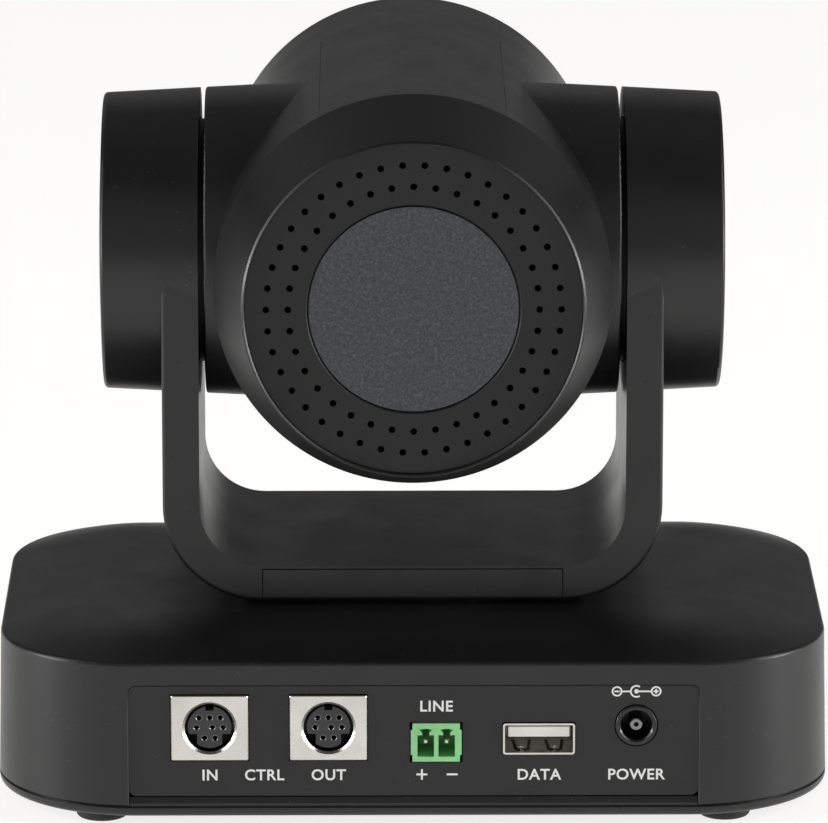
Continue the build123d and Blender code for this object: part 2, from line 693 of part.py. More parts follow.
with BuildPart() as terminal_header:
    header_face_y = PANEL_FACE_Y - 0.3
    cell = HEADER_PITCH - HEADER_WALL + 0.1
    cell_height = HEADER_SIZE[1] - 2 * HEADER_WALL - 0.3
    key_height = HEADER_SIZE[1] / 2 - HEADER_WALL
    with BuildSketch(panel_plane(header_face_y)):
        with Locations((HEADER_X, HEADER_Z)):
            Rectangle(HEADER_SIZE[0] - 0.6, HEADER_SIZE[1])
            Rectangle(HEADER_SIZE[0], HEADER_SIZE[1] * 0.66)
    extrude(amount=-HEADER_DEPTH)
    with BuildSketch(panel_plane(header_face_y)):
        with Locations([(x, HEADER_Z - HEADER_SIZE[1] / 2 + HEADER_WALL) for x in header_xs]):
            Rectangle(cell, cell_height - 1.0, align=(Align.CENTER, Align.MIN))
            Rectangle(1.3, cell_height + 0.2, align=(Align.CENTER, Align.MIN))
            with Locations((0, cell_height - 0.1)):
                Polygon((-0.6, -0.6), (0.6, -0.6), (1.25, 0.2), (-1.25, 0.2), align=None)
    extrude(amount=-HEADER_CAVITY_DEPTH, mode=Mode.SUBTRACT)
    with BuildSketch(panel_plane(header_face_y)):
        with Locations([(x, HEADER_Z - 0.3) for x in header_xs]):
            Rectangle(HEADER_PIN, HEADER_PIN)
    extrude(amount=-HEADER_DEPTH, mode=Mode.SUBTRACT)
save(terminal_header.part, "terminal_header")

with BuildPart() as terminal_pins:
    with BuildSketch(panel_plane(header_face_y + 1.6)):
        with Locations([(x, HEADER_Z - 0.3) for x in header_xs]):
            Rectangle(HEADER_PIN, HEADER_PIN)
    extrude(amount=-HEADER_DEPTH)
    chamfer(terminal_pins.edges().group_by(Axis.Y)[0], length=0.25)
    with BuildSketch(Plane.XY.offset(BOARD_TOP_Z)):
        with Locations([(x, header_face_y + 1.1 + HEADER_DEPTH) for x in header_xs]):
            Rectangle(HEADER_PIN, HEADER_PIN)
    extrude(amount=HEADER_Z - 0.3 - BOARD_TOP_Z)
save(terminal_pins.part, "terminal_pins")

usb_face_y = PANEL_FACE_Y - USB_PROUD

with BuildPart() as usb_shell:
    with BuildSketch(panel_plane(usb_face_y)):
        with Locations((USB_X, USB_Z)):
            RectangleRounded(*USB_SIZE, 0.5)
    extrude(amount=-USB_DEPTH)
    with BuildSketch(panel_plane(usb_face_y - 0.1)):
        with Locations((USB_X, USB_Z)):
            RectangleRounded(USB_SIZE[0] - 2 * USB_SHEET, USB_SIZE[1] - 2 * USB_SHEET, 0.25)
    extrude(amount=-USB_DEPTH - 0.2, mode=Mode.SUBTRACT)
    with BuildSketch(Plane.XY.offset(BOARD_TOP_Z)):
        with Locations(
            (USB_X - USB_SIZE[0] / 2 + 1.5, usb_face_y + USB_DEPTH - 3),
            (USB_X + USB_SIZE[0] / 2 - 1.5, usb_face_y + USB_DEPTH - 3),
        ):
            Rectangle(USB_SHEET, 2.4)
    extrude(amount=USB_Z - USB_SIZE[1] / 2 + USB_SHEET / 2 - BOARD_TOP_Z)
save(usb_shell.part, "usb_shell")

with BuildPart() as usb_tongue:
    inner_height = USB_SIZE[1] - 2 * USB_SHEET - 2 * SLIP
    inner_width = USB_SIZE[0] - 2 * USB_SHEET - 2 * SLIP
    with BuildSketch(panel_plane(usb_face_y + 0.9)):
        with Locations((USB_X, USB_Z + inner_height / 2 - 0.45)):
            Rectangle(*USB_TONGUE, align=(Align.CENTER, Align.MAX))
    extrude(amount=-USB_DEPTH + 0.9)
    with BuildSketch(panel_plane(usb_face_y + USB_DEPTH - 3.5)):
        with Locations((USB_X, USB_Z)):
            Rectangle(inner_width, inner_height)
    extrude(amount=-3.5)
save(usb_tongue.part, "usb_tongue")

with BuildPart() as dc_jack_body:
    jack_face_y = PANEL_FACE_Y - JACK_PROUD
    jack_body_y = FLANGE_BACK_Y + SLIP
    jack_top_z = JACK_Z + JACK_BODY[0] / 2
    with BuildSketch(panel_plane(jack_face_y)):
        with Locations((JACK_X, JACK_Z)):
            Circle(JACK_NOSE_R)
    extrude(amount=jack_face_y - jack_body_y)
    with BuildSketch(panel_plane(jack_body_y)):
        with Locations((JACK_X, (BOARD_TOP_Z + jack_top_z) / 2)):
            Rectangle(JACK_BODY[0], jack_top_z - BOARD_TOP_Z)
    extrude(amount=-JACK_BODY[1])
    with BuildSketch(panel_plane(jack_face_y)):
        with Locations((JACK_X, JACK_Z)):
            Circle(JACK_BORE_R)
    extrude(amount=-JACK_BORE_DEPTH, mode=Mode.SUBTRACT)
    chamfer(dc_jack_body.edges().group_by(Axis.Y)[0].sort_by(SortBy.RADIUS)[0], length=0.25)
    fillet(
        dc_jack_body.edges().group_by(Axis.Y)[0].sort_by(SortBy.RADIUS)[-1],
        radius=JACK_NOSE_ROUND,
    )
    with BuildSketch(panel_plane(jack_face_y + JACK_BORE_DEPTH)):
        with Locations((JACK_X, JACK_Z)):
            Circle(JACK_PIN_R)
    extrude(amount=-2, mode=Mode.SUBTRACT)
save(dc_jack_body.part, "dc_jack_body")

with BuildPart() as dc_jack_pin:
    with BuildSketch(panel_plane(jack_face_y + JACK_PIN_SET_BACK)):
        with Locations((JACK_X, JACK_Z)):
            Circle(JACK_PIN_R)
    extrude(amount=-JACK_BORE_DEPTH - JACK_PIN_TAIL + JACK_PIN_SET_BACK)
    fillet(dc_jack_pin.edges().group_by(Axis.Y)[0], radius=0.35)
    with BuildSketch(panel_plane(jack_face_y)):
        with Locations((JACK_X, JACK_Z)):
            Circle(JACK_SLOT_R)
    extrude(amount=-JACK_PIN_SET_BACK - 4, mode=Mode.SUBTRACT)
save(dc_jack_pin.part, "dc_jack_pin")

with BuildPart() as rear_panel:
    with BuildSketch(panel_plane(PANEL_FACE_Y)):
        with Locations((0, (PANEL_BOTTOM_Z + PANEL_TOP_Z) / 2)):
            RectangleRounded(PANEL_WIDTH, PANEL_TOP_Z - PANEL_BOTTOM_Z, PANEL_CORNER_R)
    extrude(amount=-PANEL_THICK)
    with BuildSketch(panel_plane(PANEL_BACK_Y)):
        with Locations((0, (PANEL_BOTTOM_Z + PANEL_TOP_Z + PANEL_FLANGE_LAP) / 2)):
            Rectangle(
                PANEL_WIDTH + 2 * PANEL_FLANGE_LAP,
                PANEL_TOP_Z + PANEL_FLANGE_LAP - PANEL_BOTTOM_Z,
            )
    extrude(amount=-PANEL_FLANGE)
    with BuildSketch(panel_plane(PANEL_FACE_Y)):
        with Locations([(x, DIN_Z) for x in DIN_XS.values()]):
            Rectangle(DIN_FACE[0] + 2 * CONNECTOR_GAP, DIN_FACE[1] + 2 * CONNECTOR_GAP)
        with Locations((HEADER_X, HEADER_Z)):
            Rectangle(HEADER_SIZE[0] + 2 * CONNECTOR_GAP, HEADER_SIZE[1] + 2 * CONNECTOR_GAP)
        with Locations((USB_X, USB_Z)):
            RectangleRounded(USB_SIZE[0] + 2 * CONNECTOR_GAP, USB_SIZE[1] + 2 * CONNECTOR_GAP, 0.6)
        with Locations((JACK_X, JACK_Z)):
            Circle(JACK_NOSE_R + CONNECTOR_GAP)
    extrude(amount=-PANEL_THICK - PANEL_FLANGE, mode=Mode.SUBTRACT)
save(rear_panel.part, "rear_panel")

with BuildPart() as ir_window:
    with BuildSketch(Plane.XZ.offset(-BASE_FRONT_Y + BASE_WALL + 0.6)):
        with Locations((0, IR_WINDOW_Z)):
            RectangleRounded(*IR_WINDOW, IR_WINDOW[1] / 2 - 0.2)
    extrude(amount=-2 * BASE_WALL)
    add(base_block, mode=Mode.INTERSECT)
save(ir_window.part, "ir_window")

# ---------------------------------------------------------------- pan drive

motor_spot = (0, PAN_CENTRES)

with BuildPart() as pan_plate:
    with BuildSketch(Plane.XY.offset(PAN_PLATE_Z)):
        with Locations((0, (PAN_PLATE_Y[0] + PAN_PLATE_Y[1]) / 2)):
            RectangleRounded(2 * PAN_PLATE_HALF_X, PAN_PLATE_Y[1] - PAN_PLATE_Y[0], 4)
    extrude(amount=PAN_PLATE_THICK)
    with BuildSketch(Plane.XY.offset(BEARING_BOTTOM_Z - 1)):
        Circle(BEARING_OUTER_R + 2)
    extrude(amount=BEARING_WIDTH + 1)
    with BuildSketch(Plane.XY.offset(BEARING_BOTTOM_Z)):
        Circle(BEARING_OUTER_R)
    extrude(amount=BEARING_WIDTH + 1, mode=Mode.SUBTRACT)
    with BuildSketch(Plane.XY.offset(BEARING_BOTTOM_Z - 1)):
        Circle(BEARING_OUTER_R - 1.5)
        with Locations(motor_spot):
            Circle(2.4)
        with Locations(post_spots):
            Circle(SCREW_HOLE_R)
    extrude(amount=BEARING_WIDTH + 2, mode=Mode.SUBTRACT)
save(pan_plate.part, "pan_plate")

with BuildPart() as pan_bearing:
    with BuildSketch(Plane.XY.offset(BEARING_BOTTOM_Z)):
        Circle(BEARING_OUTER_R)
        Circle(PAN_SHAFT_R + RUNNING, mode=Mode.SUBTRACT)
    extrude(amount=BEARING_WIDTH)
    with BuildSketch(Plane.XY.offset(BEARING_BOTTOM_Z + BEARING_WIDTH - 0.3)):
        Circle(BEARING_OUTER_R - 1.2)
        Circle(PAN_SHAFT_R + 1.2, mode=Mode.SUBTRACT)
    extrude(amount=1, mode=Mode.SUBTRACT)
save(pan_bearing.part, "pan_bearing")

with BuildPart() as pan_motor:
    with BuildSketch(Plane.XY.offset(PAN_PLATE_Z - PAN_MOTOR_LENGTH)):
        with Locations(motor_spot):
            Circle(PAN_MOTOR_R)
    extrude(amount=PAN_MOTOR_LENGTH)
    with BuildSketch(Plane.XY.offset(PAN_PLATE_Z)):
        with Locations(motor_spot):
            Circle(2.2)
    extrude(amount=1.2)
    with BuildSketch(Plane.XY.offset(PAN_PLATE_Z - 0.8)):
        with Locations(motor_spot):
            SlotCenterToCenter(24, 7)
        with Locations((-12, PAN_CENTRES), (12, PAN_CENTRES)):
            Circle(1.2, mode=Mode.SUBTRACT)
    extrude(amount=0.8)
    with BuildSketch(Plane.XY.offset(PAN_PLATE_Z - 4)):
        with Locations(motor_spot):
            Circle(PINION_SHAFT_R + RUNNING)
    extrude(amount=6, mode=Mode.SUBTRACT)
save(pan_motor.part, "pan_motor")

# The rest pose is meshed: the gear has a tooth and the pinion a gap on the line of centres.
with BuildPart() as pan_pinion:
    extrude(
        gear_face(Plane.XY.offset(PAN_GEAR_Z - 0.4), motor_spot, PAN_PINION_TEETH,
                  270 + 180 / PAN_PINION_TEETH, 0),
        amount=PAN_GEAR_FACE + 0.8,
    )
    with BuildSketch(Plane.XY.offset(PAN_PLATE_Z - 4)):
        with Locations(motor_spot):
            Circle(PINION_SHAFT_R)
    extrude(amount=PAN_GEAR_Z - PAN_PLATE_Z + 4)
save(pan_pinion.part, "pan_pinion")

with BuildPart() as pan_gear:
    extrude(
        gear_face(Plane.XY.offset(PAN_GEAR_Z), (0, 0), PAN_TEETH, 90,
                  PAN_SHAFT_R + SHAFT_SHOULDER),
        amount=PAN_GEAR_FACE,
    )
    with BuildSketch(Plane.XY.offset(PAN_GEAR_Z + PAN_GEAR_FACE / 2 + 0.4)):
        Circle(GEAR_MODULE * PAN_TEETH / 2 - 2.5)
        Circle(HUB_NECK_R + 0.6, mode=Mode.SUBTRACT)
    extrude(amount=PAN_GEAR_FACE, mode=Mode.SUBTRACT)
save(pan_gear.part, "pan_gear")

with BuildPart() as pan_hub:
    with BuildSketch(Plane.XY.offset(BASE_TOP_Z + HUB_FLANGE_CLEAR)):
        Circle(HUB_FLANGE_R)
    extrude(amount=YOKE_BOTTOM_Z - BASE_TOP_Z - HUB_FLANGE_CLEAR)
    with BuildSketch(Plane.XY.offset(PAN_GEAR_Z + PAN_GEAR_FACE)):
        Circle(HUB_NECK_R)
    extrude(amount=YOKE_BOTTOM_Z - PAN_GEAR_Z - PAN_GEAR_FACE)
    with BuildSketch(Plane.XY.offset(PAN_GEAR_Z)):
        Circle(PAN_SHAFT_R + SHAFT_SHOULDER)
    extrude(amount=PAN_GEAR_FACE)
    with BuildSketch(Plane.XY.offset(BEARING_BOTTOM_Z + BEARING_WIDTH + 0.3)):
        Circle(PAN_SHAFT_R + SHAFT_SHOULDER)
    extrude(amount=PAN_GEAR_Z - BEARING_BOTTOM_Z - BEARING_WIDTH - 0.3)
    with BuildSketch(Plane.XY.offset(BEARING_BOTTOM_Z - 2)):
        Circle(PAN_SHAFT_R)
    extrude(amount=BEARING_WIDTH + 3)
    with BuildSketch(Plane.XY.offset(BEARING_BOTTOM_Z - 3)):
        Circle(CABLE_BORE_R)
    extrude(amount=YOKE_BOTTOM_Z - BEARING_BOTTOM_Z + 4, mode=Mode.SUBTRACT)
save(pan_hub.part, "pan_hub")

# ---------------------------------------------------------------- yoke


def yoke_half_outline(inset):
    """One half of the yoke's U from the tilt axis down, inset from its outer skin."""
    inner_x = YOKE_INNER_HALF + inset
    outer_x = YOKE_OUTER_HALF - inset
    low_z = YOKE_BOTTOM_Z + inset
    high_z = BAR_TOP_Z - inset
    outer_r = YOKE_OUTER_R - inset
    inner_r = YOKE_INNER_R + inset
    with BuildSketch(Plane.XZ) as sketch:
        with BuildLine():
            Line((0, low_z), (outer_x - outer_r, low_z))
            RadiusArc((outer_x - outer_r, low_z), (outer_x, low_z + outer_r), -outer_r)
            Line((outer_x, low_z + outer_r), (outer_x, TILT_Z))
            Line((outer_x, TILT_Z), (inner_x, TILT_Z))
            Line((inner_x, TILT_Z), (inner_x, high_z + inner_r))
            RadiusArc((inner_x, high_z + inner_r), (inner_x - inner_r, high_z), inner_r)
            Line((inner_x - inner_r, high_z), (0, high_z))
            Line((0, high_z), (0, low_z))
        make_face()
    return sketch.sketch


def drum_outline(x_start, x_end, wall, dome):
    """Half-section of a drum between two distances from the centre plane."""
    rim_r = drum_radius(x_end) - wall
    with BuildSketch(Plane.XZ) as sketch:
        with BuildLine():
            Line((x_start, TILT_Z), (x_start, TILT_Z + drum_radius(x_start) - wall))
            Line((x_start, TILT_Z + drum_radius(x_start) - wall), (x_end, TILT_Z + rim_r))
            if dome > 0:
                cap_arc((x_end + dome, TILT_Z), (x_end, TILT_Z + rim_r))
            else:
                Line((x_end, TILT_Z + rim_r), (x_end, TILT_Z))
            Line((x_end + dome, TILT_Z), (x_start, TILT_Z))
        make_face()
    return sketch.sketch


DRUM_RIM_X = DRUM_END_HALF - DRUM_DOME
CAP_SEAT_X = DRUM_RIM_X - DRUM_CAP_THICK
MOTOR_Z = TILT_Z - TILT_CENTRES


def on_faces_y(edge, y):
    """True for an edge of the U that lies in its front or rear face at that Y."""
    centre = edge.center()
    return abs(centre.Y - y) < 0.01 and 0.01 < centre.X and centre.Z < TILT_Z - 0.1


def on_inner_side(edge):
    """True for an edge of the U's inner faces."""
    return edge.center().X < YOKE_INNER_HALF + 0.1 and edge.center().Z > BAR_TOP_Z - 0.1


with BuildPart() as yoke_half_block:
    extrude(yoke_half_outline(0), amount=ARM_HALF_DEPTH, both=True)
    front_inner = yoke_half_block.edges().filter_by(
        lambda e: on_faces_y(e, ARM_HALF_DEPTH) and on_inner_side(e)
    )
    fillet(front_inner, radius=YOKE_FRONT_ROUND)
    outer_edges = yoke_half_block.edges().filter_by(
        lambda e: (on_faces_y(e, ARM_HALF_DEPTH) or on_faces_y(e, -ARM_HALF_DEPTH))
        and not on_inner_side(e)
    )
    fillet(outer_edges, radius=YOKE_EDGE)

with BuildPart() as yoke_half:
    add(yoke_half_block.part)
    revolve(drum_outline(YOKE_INNER_HALF, DRUM_RIM_X, 0, 0), axis=TILT_AXIS)
    fillet(yoke_half.edges().filter_by(GeomType.CIRCLE).sort_by(Axis.X)[-1], radius=YOKE_EDGE)
    # hollow of the arm and the bar
    extrude(
        yoke_half_outline(YOKE_WALL), amount=ARM_HALF_DEPTH - YOKE_FRONT_ROUND, both=True,
        mode=Mode.SUBTRACT,
    )
    # hollow of the drum, open towards the head, and the pocket of its end cap
    revolve(
        drum_outline(YOKE_INNER_HALF - 1, WEB_X, DRUM_WALL, 0), axis=TILT_AXIS,
        mode=Mode.SUBTRACT,
    )
    revolve(
        drum_outline(WEB_X + WEB_THICK, DRUM_RIM_X + 1, DRUM_WALL, 0), axis=TILT_AXIS,
        mode=Mode.SUBTRACT,
    )
    # bearing boss on the web
    with BuildSketch(Plane.YZ.offset(WEB_X)):
        with Locations((0, TILT_Z)):
            Circle(TILT_BOSS_R)
    extrude(amount=TILT_BOSS_LENGTH)
    with BuildSketch(Plane.YZ.offset(WEB_X - 1)):
        with Locations((0, TILT_Z)):
            Circle(TILT_BUSH_R)
        with Locations((0, MOTOR_Z)):
            Circle(TILT_MOTOR_BOSS_R + SLIP)
    extrude(amount=TILT_BOSS_LENGTH + 2, mode=Mode.SUBTRACT)
    # pads under the spine, with counterbored screw holes
    with BuildSketch(Plane.XY.offset(YOKE_BOTTOM_Z + YOKE_WALL / 2)):
        with Locations(right_spine_spots):
            Circle(SPINE_PAD_R)
    extrude(amount=SPINE_Z - YOKE_BOTTOM_Z - YOKE_WALL / 2)
    with BuildSketch(Plane.XY.offset(YOKE_BOTTOM_Z - 1)):
        with Locations(right_spine_spots):
            Circle(SCREW_HOLE_R)
    extrude(amount=SPINE_Z - YOKE_BOTTOM_Z + 1, mode=Mode.SUBTRACT)
    with BuildSketch(Plane.XY.offset(YOKE_BOTTOM_Z - 1)):
        with Locations(right_spine_spots):
            Circle(SCREW_HEAD_R + SLIP)
    extrude(amount=SPINE_HEAD_Z - YOKE_BOTTOM_Z + 1, mode=Mode.SUBTRACT)
    # the bottom cover's place between the arms: below the top skin, and at its edges below the lip
    with BuildSketch(Plane.XY.offset(YOKE_BOTTOM_Z)):
        Rectangle(2 * BAR_COVER_HALF + SEAM, 2 * ARM_HALF_DEPTH)
    extrude(amount=YOKE_BAR - YOKE_WALL, mode=Mode.SUBTRACT)
    with BuildSketch(Plane.XY.offset(YOKE_BOTTOM_Z)):
        Rectangle(2 * BAR_COVER_HALF + SEAM, 2 * ARM_HALF_DEPTH)
        Rectangle(
            2 * BAR_COVER_HALF + 1, 2 * (ARM_HALF_DEPTH - BAR_COVER_WALL - SEAM),
            mode=Mode.SUBTRACT,
        )
    extrude(amount=YOKE_BAR - BAR_LIP, mode=Mode.SUBTRACT)

with BuildPart() as yoke_frame:
    add(yoke_half.part)
    mirror(about=Plane.YZ)
save(yoke_frame.part, "yoke_frame")

with BuildPart() as bar_cover:
    add(yoke_half_block.part)
    mirror(about=Plane.YZ)
    with BuildSketch(Plane.XY.offset(YOKE_BOTTOM_Z)):
        Rectangle(2 * BAR_COVER_HALF - SEAM, 2 * ARM_HALF_DEPTH)
    extrude(amount=YOKE_BAR - BAR_LIP - SEAM, mode=Mode.INTERSECT)
    cover_rims = bar_cover.edges().filter_by(
        lambda e: abs(abs(e.center().Y) - ARM_HALF_DEPTH) < 0.01
        and e.center().Z > YOKE_BOTTOM_Z + YOKE_EDGE + 0.1
    )
    chamfer(cover_rims, length=BAR_COVER_BEVEL)
    with BuildSketch(Plane.XY.offset(YOKE_BOTTOM_Z + YOKE_WALL)):
        Rectangle(2 * BAR_COVER_HALF, 2 * (ARM_HALF_DEPTH - BAR_COVER_WALL))
    extrude(amount=YOKE_BAR, mode=Mode.SUBTRACT)
    with BuildSketch(Plane.XY.offset(YOKE_BOTTOM_Z)):
        Circle(CABLE_BORE_R)
    extrude(amount=YOKE_WALL, mode=Mode.SUBTRACT)
save(bar_cover.part, "bar_cover")


def drum_plate(side):
    """Ring that closes a drum's mouth round the head's trunnion."""
    with BuildPart() as plate:
        revolve(
            drum_outline(YOKE_INNER_HALF, PLATE_SEAT_X, DRUM_WALL + SLIP, 0), axis=TILT_AXIS
        )
        with BuildSketch(Plane.YZ.offset(YOKE_INNER_HALF - 1)):
            with Locations((0, TILT_Z)):
                Circle(HUB_R + HUB_CLEAR)
        extrude(amount=DRUM_PLATE_THICK + 2, mode=Mode.SUBTRACT)
    if side < 0:
        return mirror(plate.part, about=Plane.YZ)
    return plate.part


def drum_cap(side):
    """Shallow domed disc pressed into a drum's outer end."""
    with BuildPart() as cap:
        revolve(
            drum_outline(CAP_SEAT_X, DRUM_RIM_X, DRUM_WALL + SLIP, DRUM_DOME), axis=TILT_AXIS
        )
    if side < 0:
        return mirror(cap.part, about=Plane.YZ)
    return cap.part


def tilt_bush(side):
    """Plain bush in the web, flanged towards the end cap."""
    with BuildPart() as bush:
        with BuildSketch(Plane.YZ.offset(WEB_X)):
            with Locations((0, TILT_Z)):
                Circle(TILT_BUSH_R)
        extrude(amount=TILT_BOSS_END - WEB_X)
        with BuildSketch(Plane.YZ.offset(TILT_BOSS_END)):
            with Locations((0, TILT_Z)):
                Circle(TILT_BUSH_R + 1)
        extrude(amount=0.8)
        with BuildSketch(Plane.YZ.offset(WEB_X - 1)):
            with Locations((0, TILT_Z)):
                Circle(TILT_SHAFT_R + RUNNING)
        extrude(amount=TILT_BOSS_END - WEB_X + 3, mode=Mode.SUBTRACT)
    if side < 0:
        return mirror(bush.part, about=Plane.YZ)
    return bush.part


for side_name, side in SIDES.items():
    save(drum_plate(side), f"{side_name}_drum_plate")
    save(drum_cap(side), f"{side_name}_drum_cap")
    save(tilt_bush(side), f"{side_name}_tilt_bush")

with BuildPart() as yoke_spine:
    with BuildSketch(Plane.XY.offset(SPINE_Z)):
        RectangleRounded(2 * SPINE_HALF_X, 2 * SPINE_HALF_Y, 3)
        Circle(CABLE_BORE_R, mode=Mode.SUBTRACT)
        with Locations(spine_spots):
            Circle(SCREW_HOLE_R, mode=Mode.SUBTRACT)
    extrude(amount=SPINE_THICK)
save(yoke_spine.part, "yoke_spine")
spine_screw_length = SPINE_Z + SPINE_THICK - SPINE_HEAD_Z
save(screws(Plane.XY.offset(SPINE_HEAD_Z), spine_spots, spine_screw_length), "spine_screws")

with BuildPart() as tilt_motor:
    motor_x = WEB_X + WEB_THICK
    with BuildSketch(Plane.YZ.offset(motor_x)):
        with Locations((0, MOTOR_Z)):
            Circle(TILT_MOTOR_R)
    extrude(amount=TILT_MOTOR_LENGTH)
    with BuildSketch(Plane.YZ.offset(motor_x - 1)):
        with Locations((0, MOTOR_Z)):
            Circle(TILT_MOTOR_BOSS_R)
    extrude(amount=1)
    with BuildSketch(Plane.YZ.offset(motor_x - 1)):
        with Locations((0, MOTOR_Z)):
            Circle(TILT_PINION_SHAFT_R + RUNNING)
    extrude(amount=5, mode=Mode.SUBTRACT)
save(tilt_motor.part, "tilt_motor")

with BuildPart() as tilt_pinion:
    extrude(
        gear_face(Plane.YZ.offset(TILT_GEAR_X), (0, MOTOR_Z), TILT_PINION_TEETH,
                  90 + 180 / TILT_PINION_TEETH, 0),
        amount=TILT_GEAR_FACE,
    )
    with BuildSketch(Plane.YZ.offset(TILT_GEAR_X + TILT_GEAR_FACE)):
        with Locations((0, MOTOR_Z)):
            Circle(TILT_PINION_SHAFT_R)
    extrude(amount=WEB_X + WEB_THICK + 3 - TILT_GEAR_X - TILT_GEAR_FACE)
save(tilt_pinion.part, "tilt_pinion")

with BuildPart() as tilt_gear:
    extrude(
        gear_face(Plane.YZ.offset(TILT_GEAR_X), (0, TILT_Z), TILT_TEETH, -90, TILT_SHAFT_R),
        amount=TILT_GEAR_FACE,
    )
save(tilt_gear.part, "tilt_gear")

# ---------------------------------------------------------------- head shells


def barrel_outline(y_start, y_end, inset):
    """Half-section of the barrel between two places, inset from its outer skin."""
    return outline(
        Plane.YZ,
        [
            (y_start, TILT_Z),
            (y_start, TILT_Z + barrel_radius(y_start) - inset),
            (y_end, TILT_Z + barrel_radius(y_end) - inset),
            (y_end, TILT_Z),
        ],
    )


chassis_spots = [
    (CHASSIS_SCREW_RING * cos(radians(a)), TILT_Z + CHASSIS_SCREW_RING * sin(radians(a)))
    for a in (45, 135, 225, 315)
]

with BuildPart() as barrel_block:
    revolve(barrel_outline(BARREL_RIM_Y, BARREL_FRONT_Y, 0), axis=LENS_AXIS)
    with BuildSketch(Plane.XZ):
        with BuildLine():
            Polyline(
                (-STUB_END_HALF, TILT_Z),
                (-STUB_END_HALF, TILT_Z + drum_radius(STUB_END_HALF)),
                (0, TILT_Z + drum_radius(0)),
                (STUB_END_HALF, TILT_Z + drum_radius(STUB_END_HALF)),
                (STUB_END_HALF, TILT_Z),
                close=True,
            )
        make_face()
    revolve(axis=TILT_AXIS)
    stub_rims = barrel_block.edges().filter_by(GeomType.CIRCLE).filter_by(
        lambda e: abs(abs(e.center().X) - STUB_END_HALF) < 0.01
    )
    fillet(stub_rims, radius=STUB_EDGE)

with BuildPart() as top_panel_block:
    revolve(barrel_outline(BARREL_RIM_Y + TOP_PANEL_REAR_SET, TOP_PANEL_FRONT_Y, 0), axis=LENS_AXIS)
    revolve(
        barrel_outline(BARREL_RIM_Y, TOP_PANEL_FRONT_Y + 1, TOP_PANEL_THICK),
        axis=LENS_AXIS, mode=Mode.SUBTRACT,
    )
    with BuildSketch(Plane.XY.offset(TILT_Z)):
        Rectangle(2 * TOP_PANEL_HALF, 3 * BARREL_FRONT_Y)
    extrude(amount=2 * BARREL_RIM_R, mode=Mode.INTERSECT)
save(top_panel_block.part, "barrel_top_panel")

with BuildPart() as top_panel_recess:
    revolve(barrel_outline(BARREL_RIM_Y + 0.2, BARREL_FRONT_Y, -1), axis=LENS_AXIS)
    revolve(
        barrel_outline(BARREL_RIM_Y, BARREL_FRONT_Y + 1, TOP_PANEL_THICK + SEAM / 2),
        axis=LENS_AXIS, mode=Mode.SUBTRACT,
    )
    with BuildSketch(Plane.XY.offset(TILT_Z)):
        with Locations((0, (BARREL_RIM_Y + TOP_PANEL_REAR_SET + TOP_PANEL_FRONT_Y) / 2)):
            Rectangle(
                2 * TOP_PANEL_HALF + SEAM,
                TOP_PANEL_FRONT_Y - BARREL_RIM_Y - TOP_PANEL_REAR_SET + SEAM,
            )
    extrude(amount=2 * BARREL_RIM_R, mode=Mode.INTERSECT)

with BuildPart() as barrel_housing:
    add(barrel_block.part)
    revolve(
        barrel_outline(BARREL_RIM_Y - 1, BARREL_FRONT_Y + 1, BARREL_WALL), axis=LENS_AXIS,
        mode=Mode.SUBTRACT,
    )
    with BuildSketch(Plane.XZ):
        with BuildLine():
            Polyline(
                (-STUB_END_HALF + STUB_END_WALL, TILT_Z),
                (-STUB_END_HALF + STUB_END_WALL, TILT_Z + drum_radius(STUB_END_HALF) - BARREL_WALL),
                (STUB_END_HALF - STUB_END_WALL, TILT_Z + drum_radius(STUB_END_HALF) - BARREL_WALL),
                (STUB_END_HALF - STUB_END_WALL, TILT_Z),
                close=True,
            )
        make_face()
    revolve(axis=TILT_AXIS, mode=Mode.SUBTRACT)
    # bosses for the chassis screws, merged into the wall
    with BuildSketch(Plane.XZ.offset(-CHASSIS_Y)):
        with Locations(chassis_spots):
            Circle(CHASSIS_BOSS_R)
    extrude(amount=-CHASSIS_BOSS_LENGTH)
    with BuildSketch(Plane.XZ.offset(-CHASSIS_Y)):
        with Locations(chassis_spots):
            Circle(SCREW_HOLE_R)
    extrude(amount=-SCREW_LENGTH, mode=Mode.SUBTRACT)
    # sockets for the trunnions
    with BuildSketch(Plane.YZ):
        with Locations((0, TILT_Z)):
            Circle(TRUNNION_PLUG_R + SLIP)
    extrude(amount=STUB_END_HALF + 1, both=True, mode=Mode.SUBTRACT)
    add(top_panel_recess.part, mode=Mode.SUBTRACT)
save(barrel_housing.part, "barrel_housing")

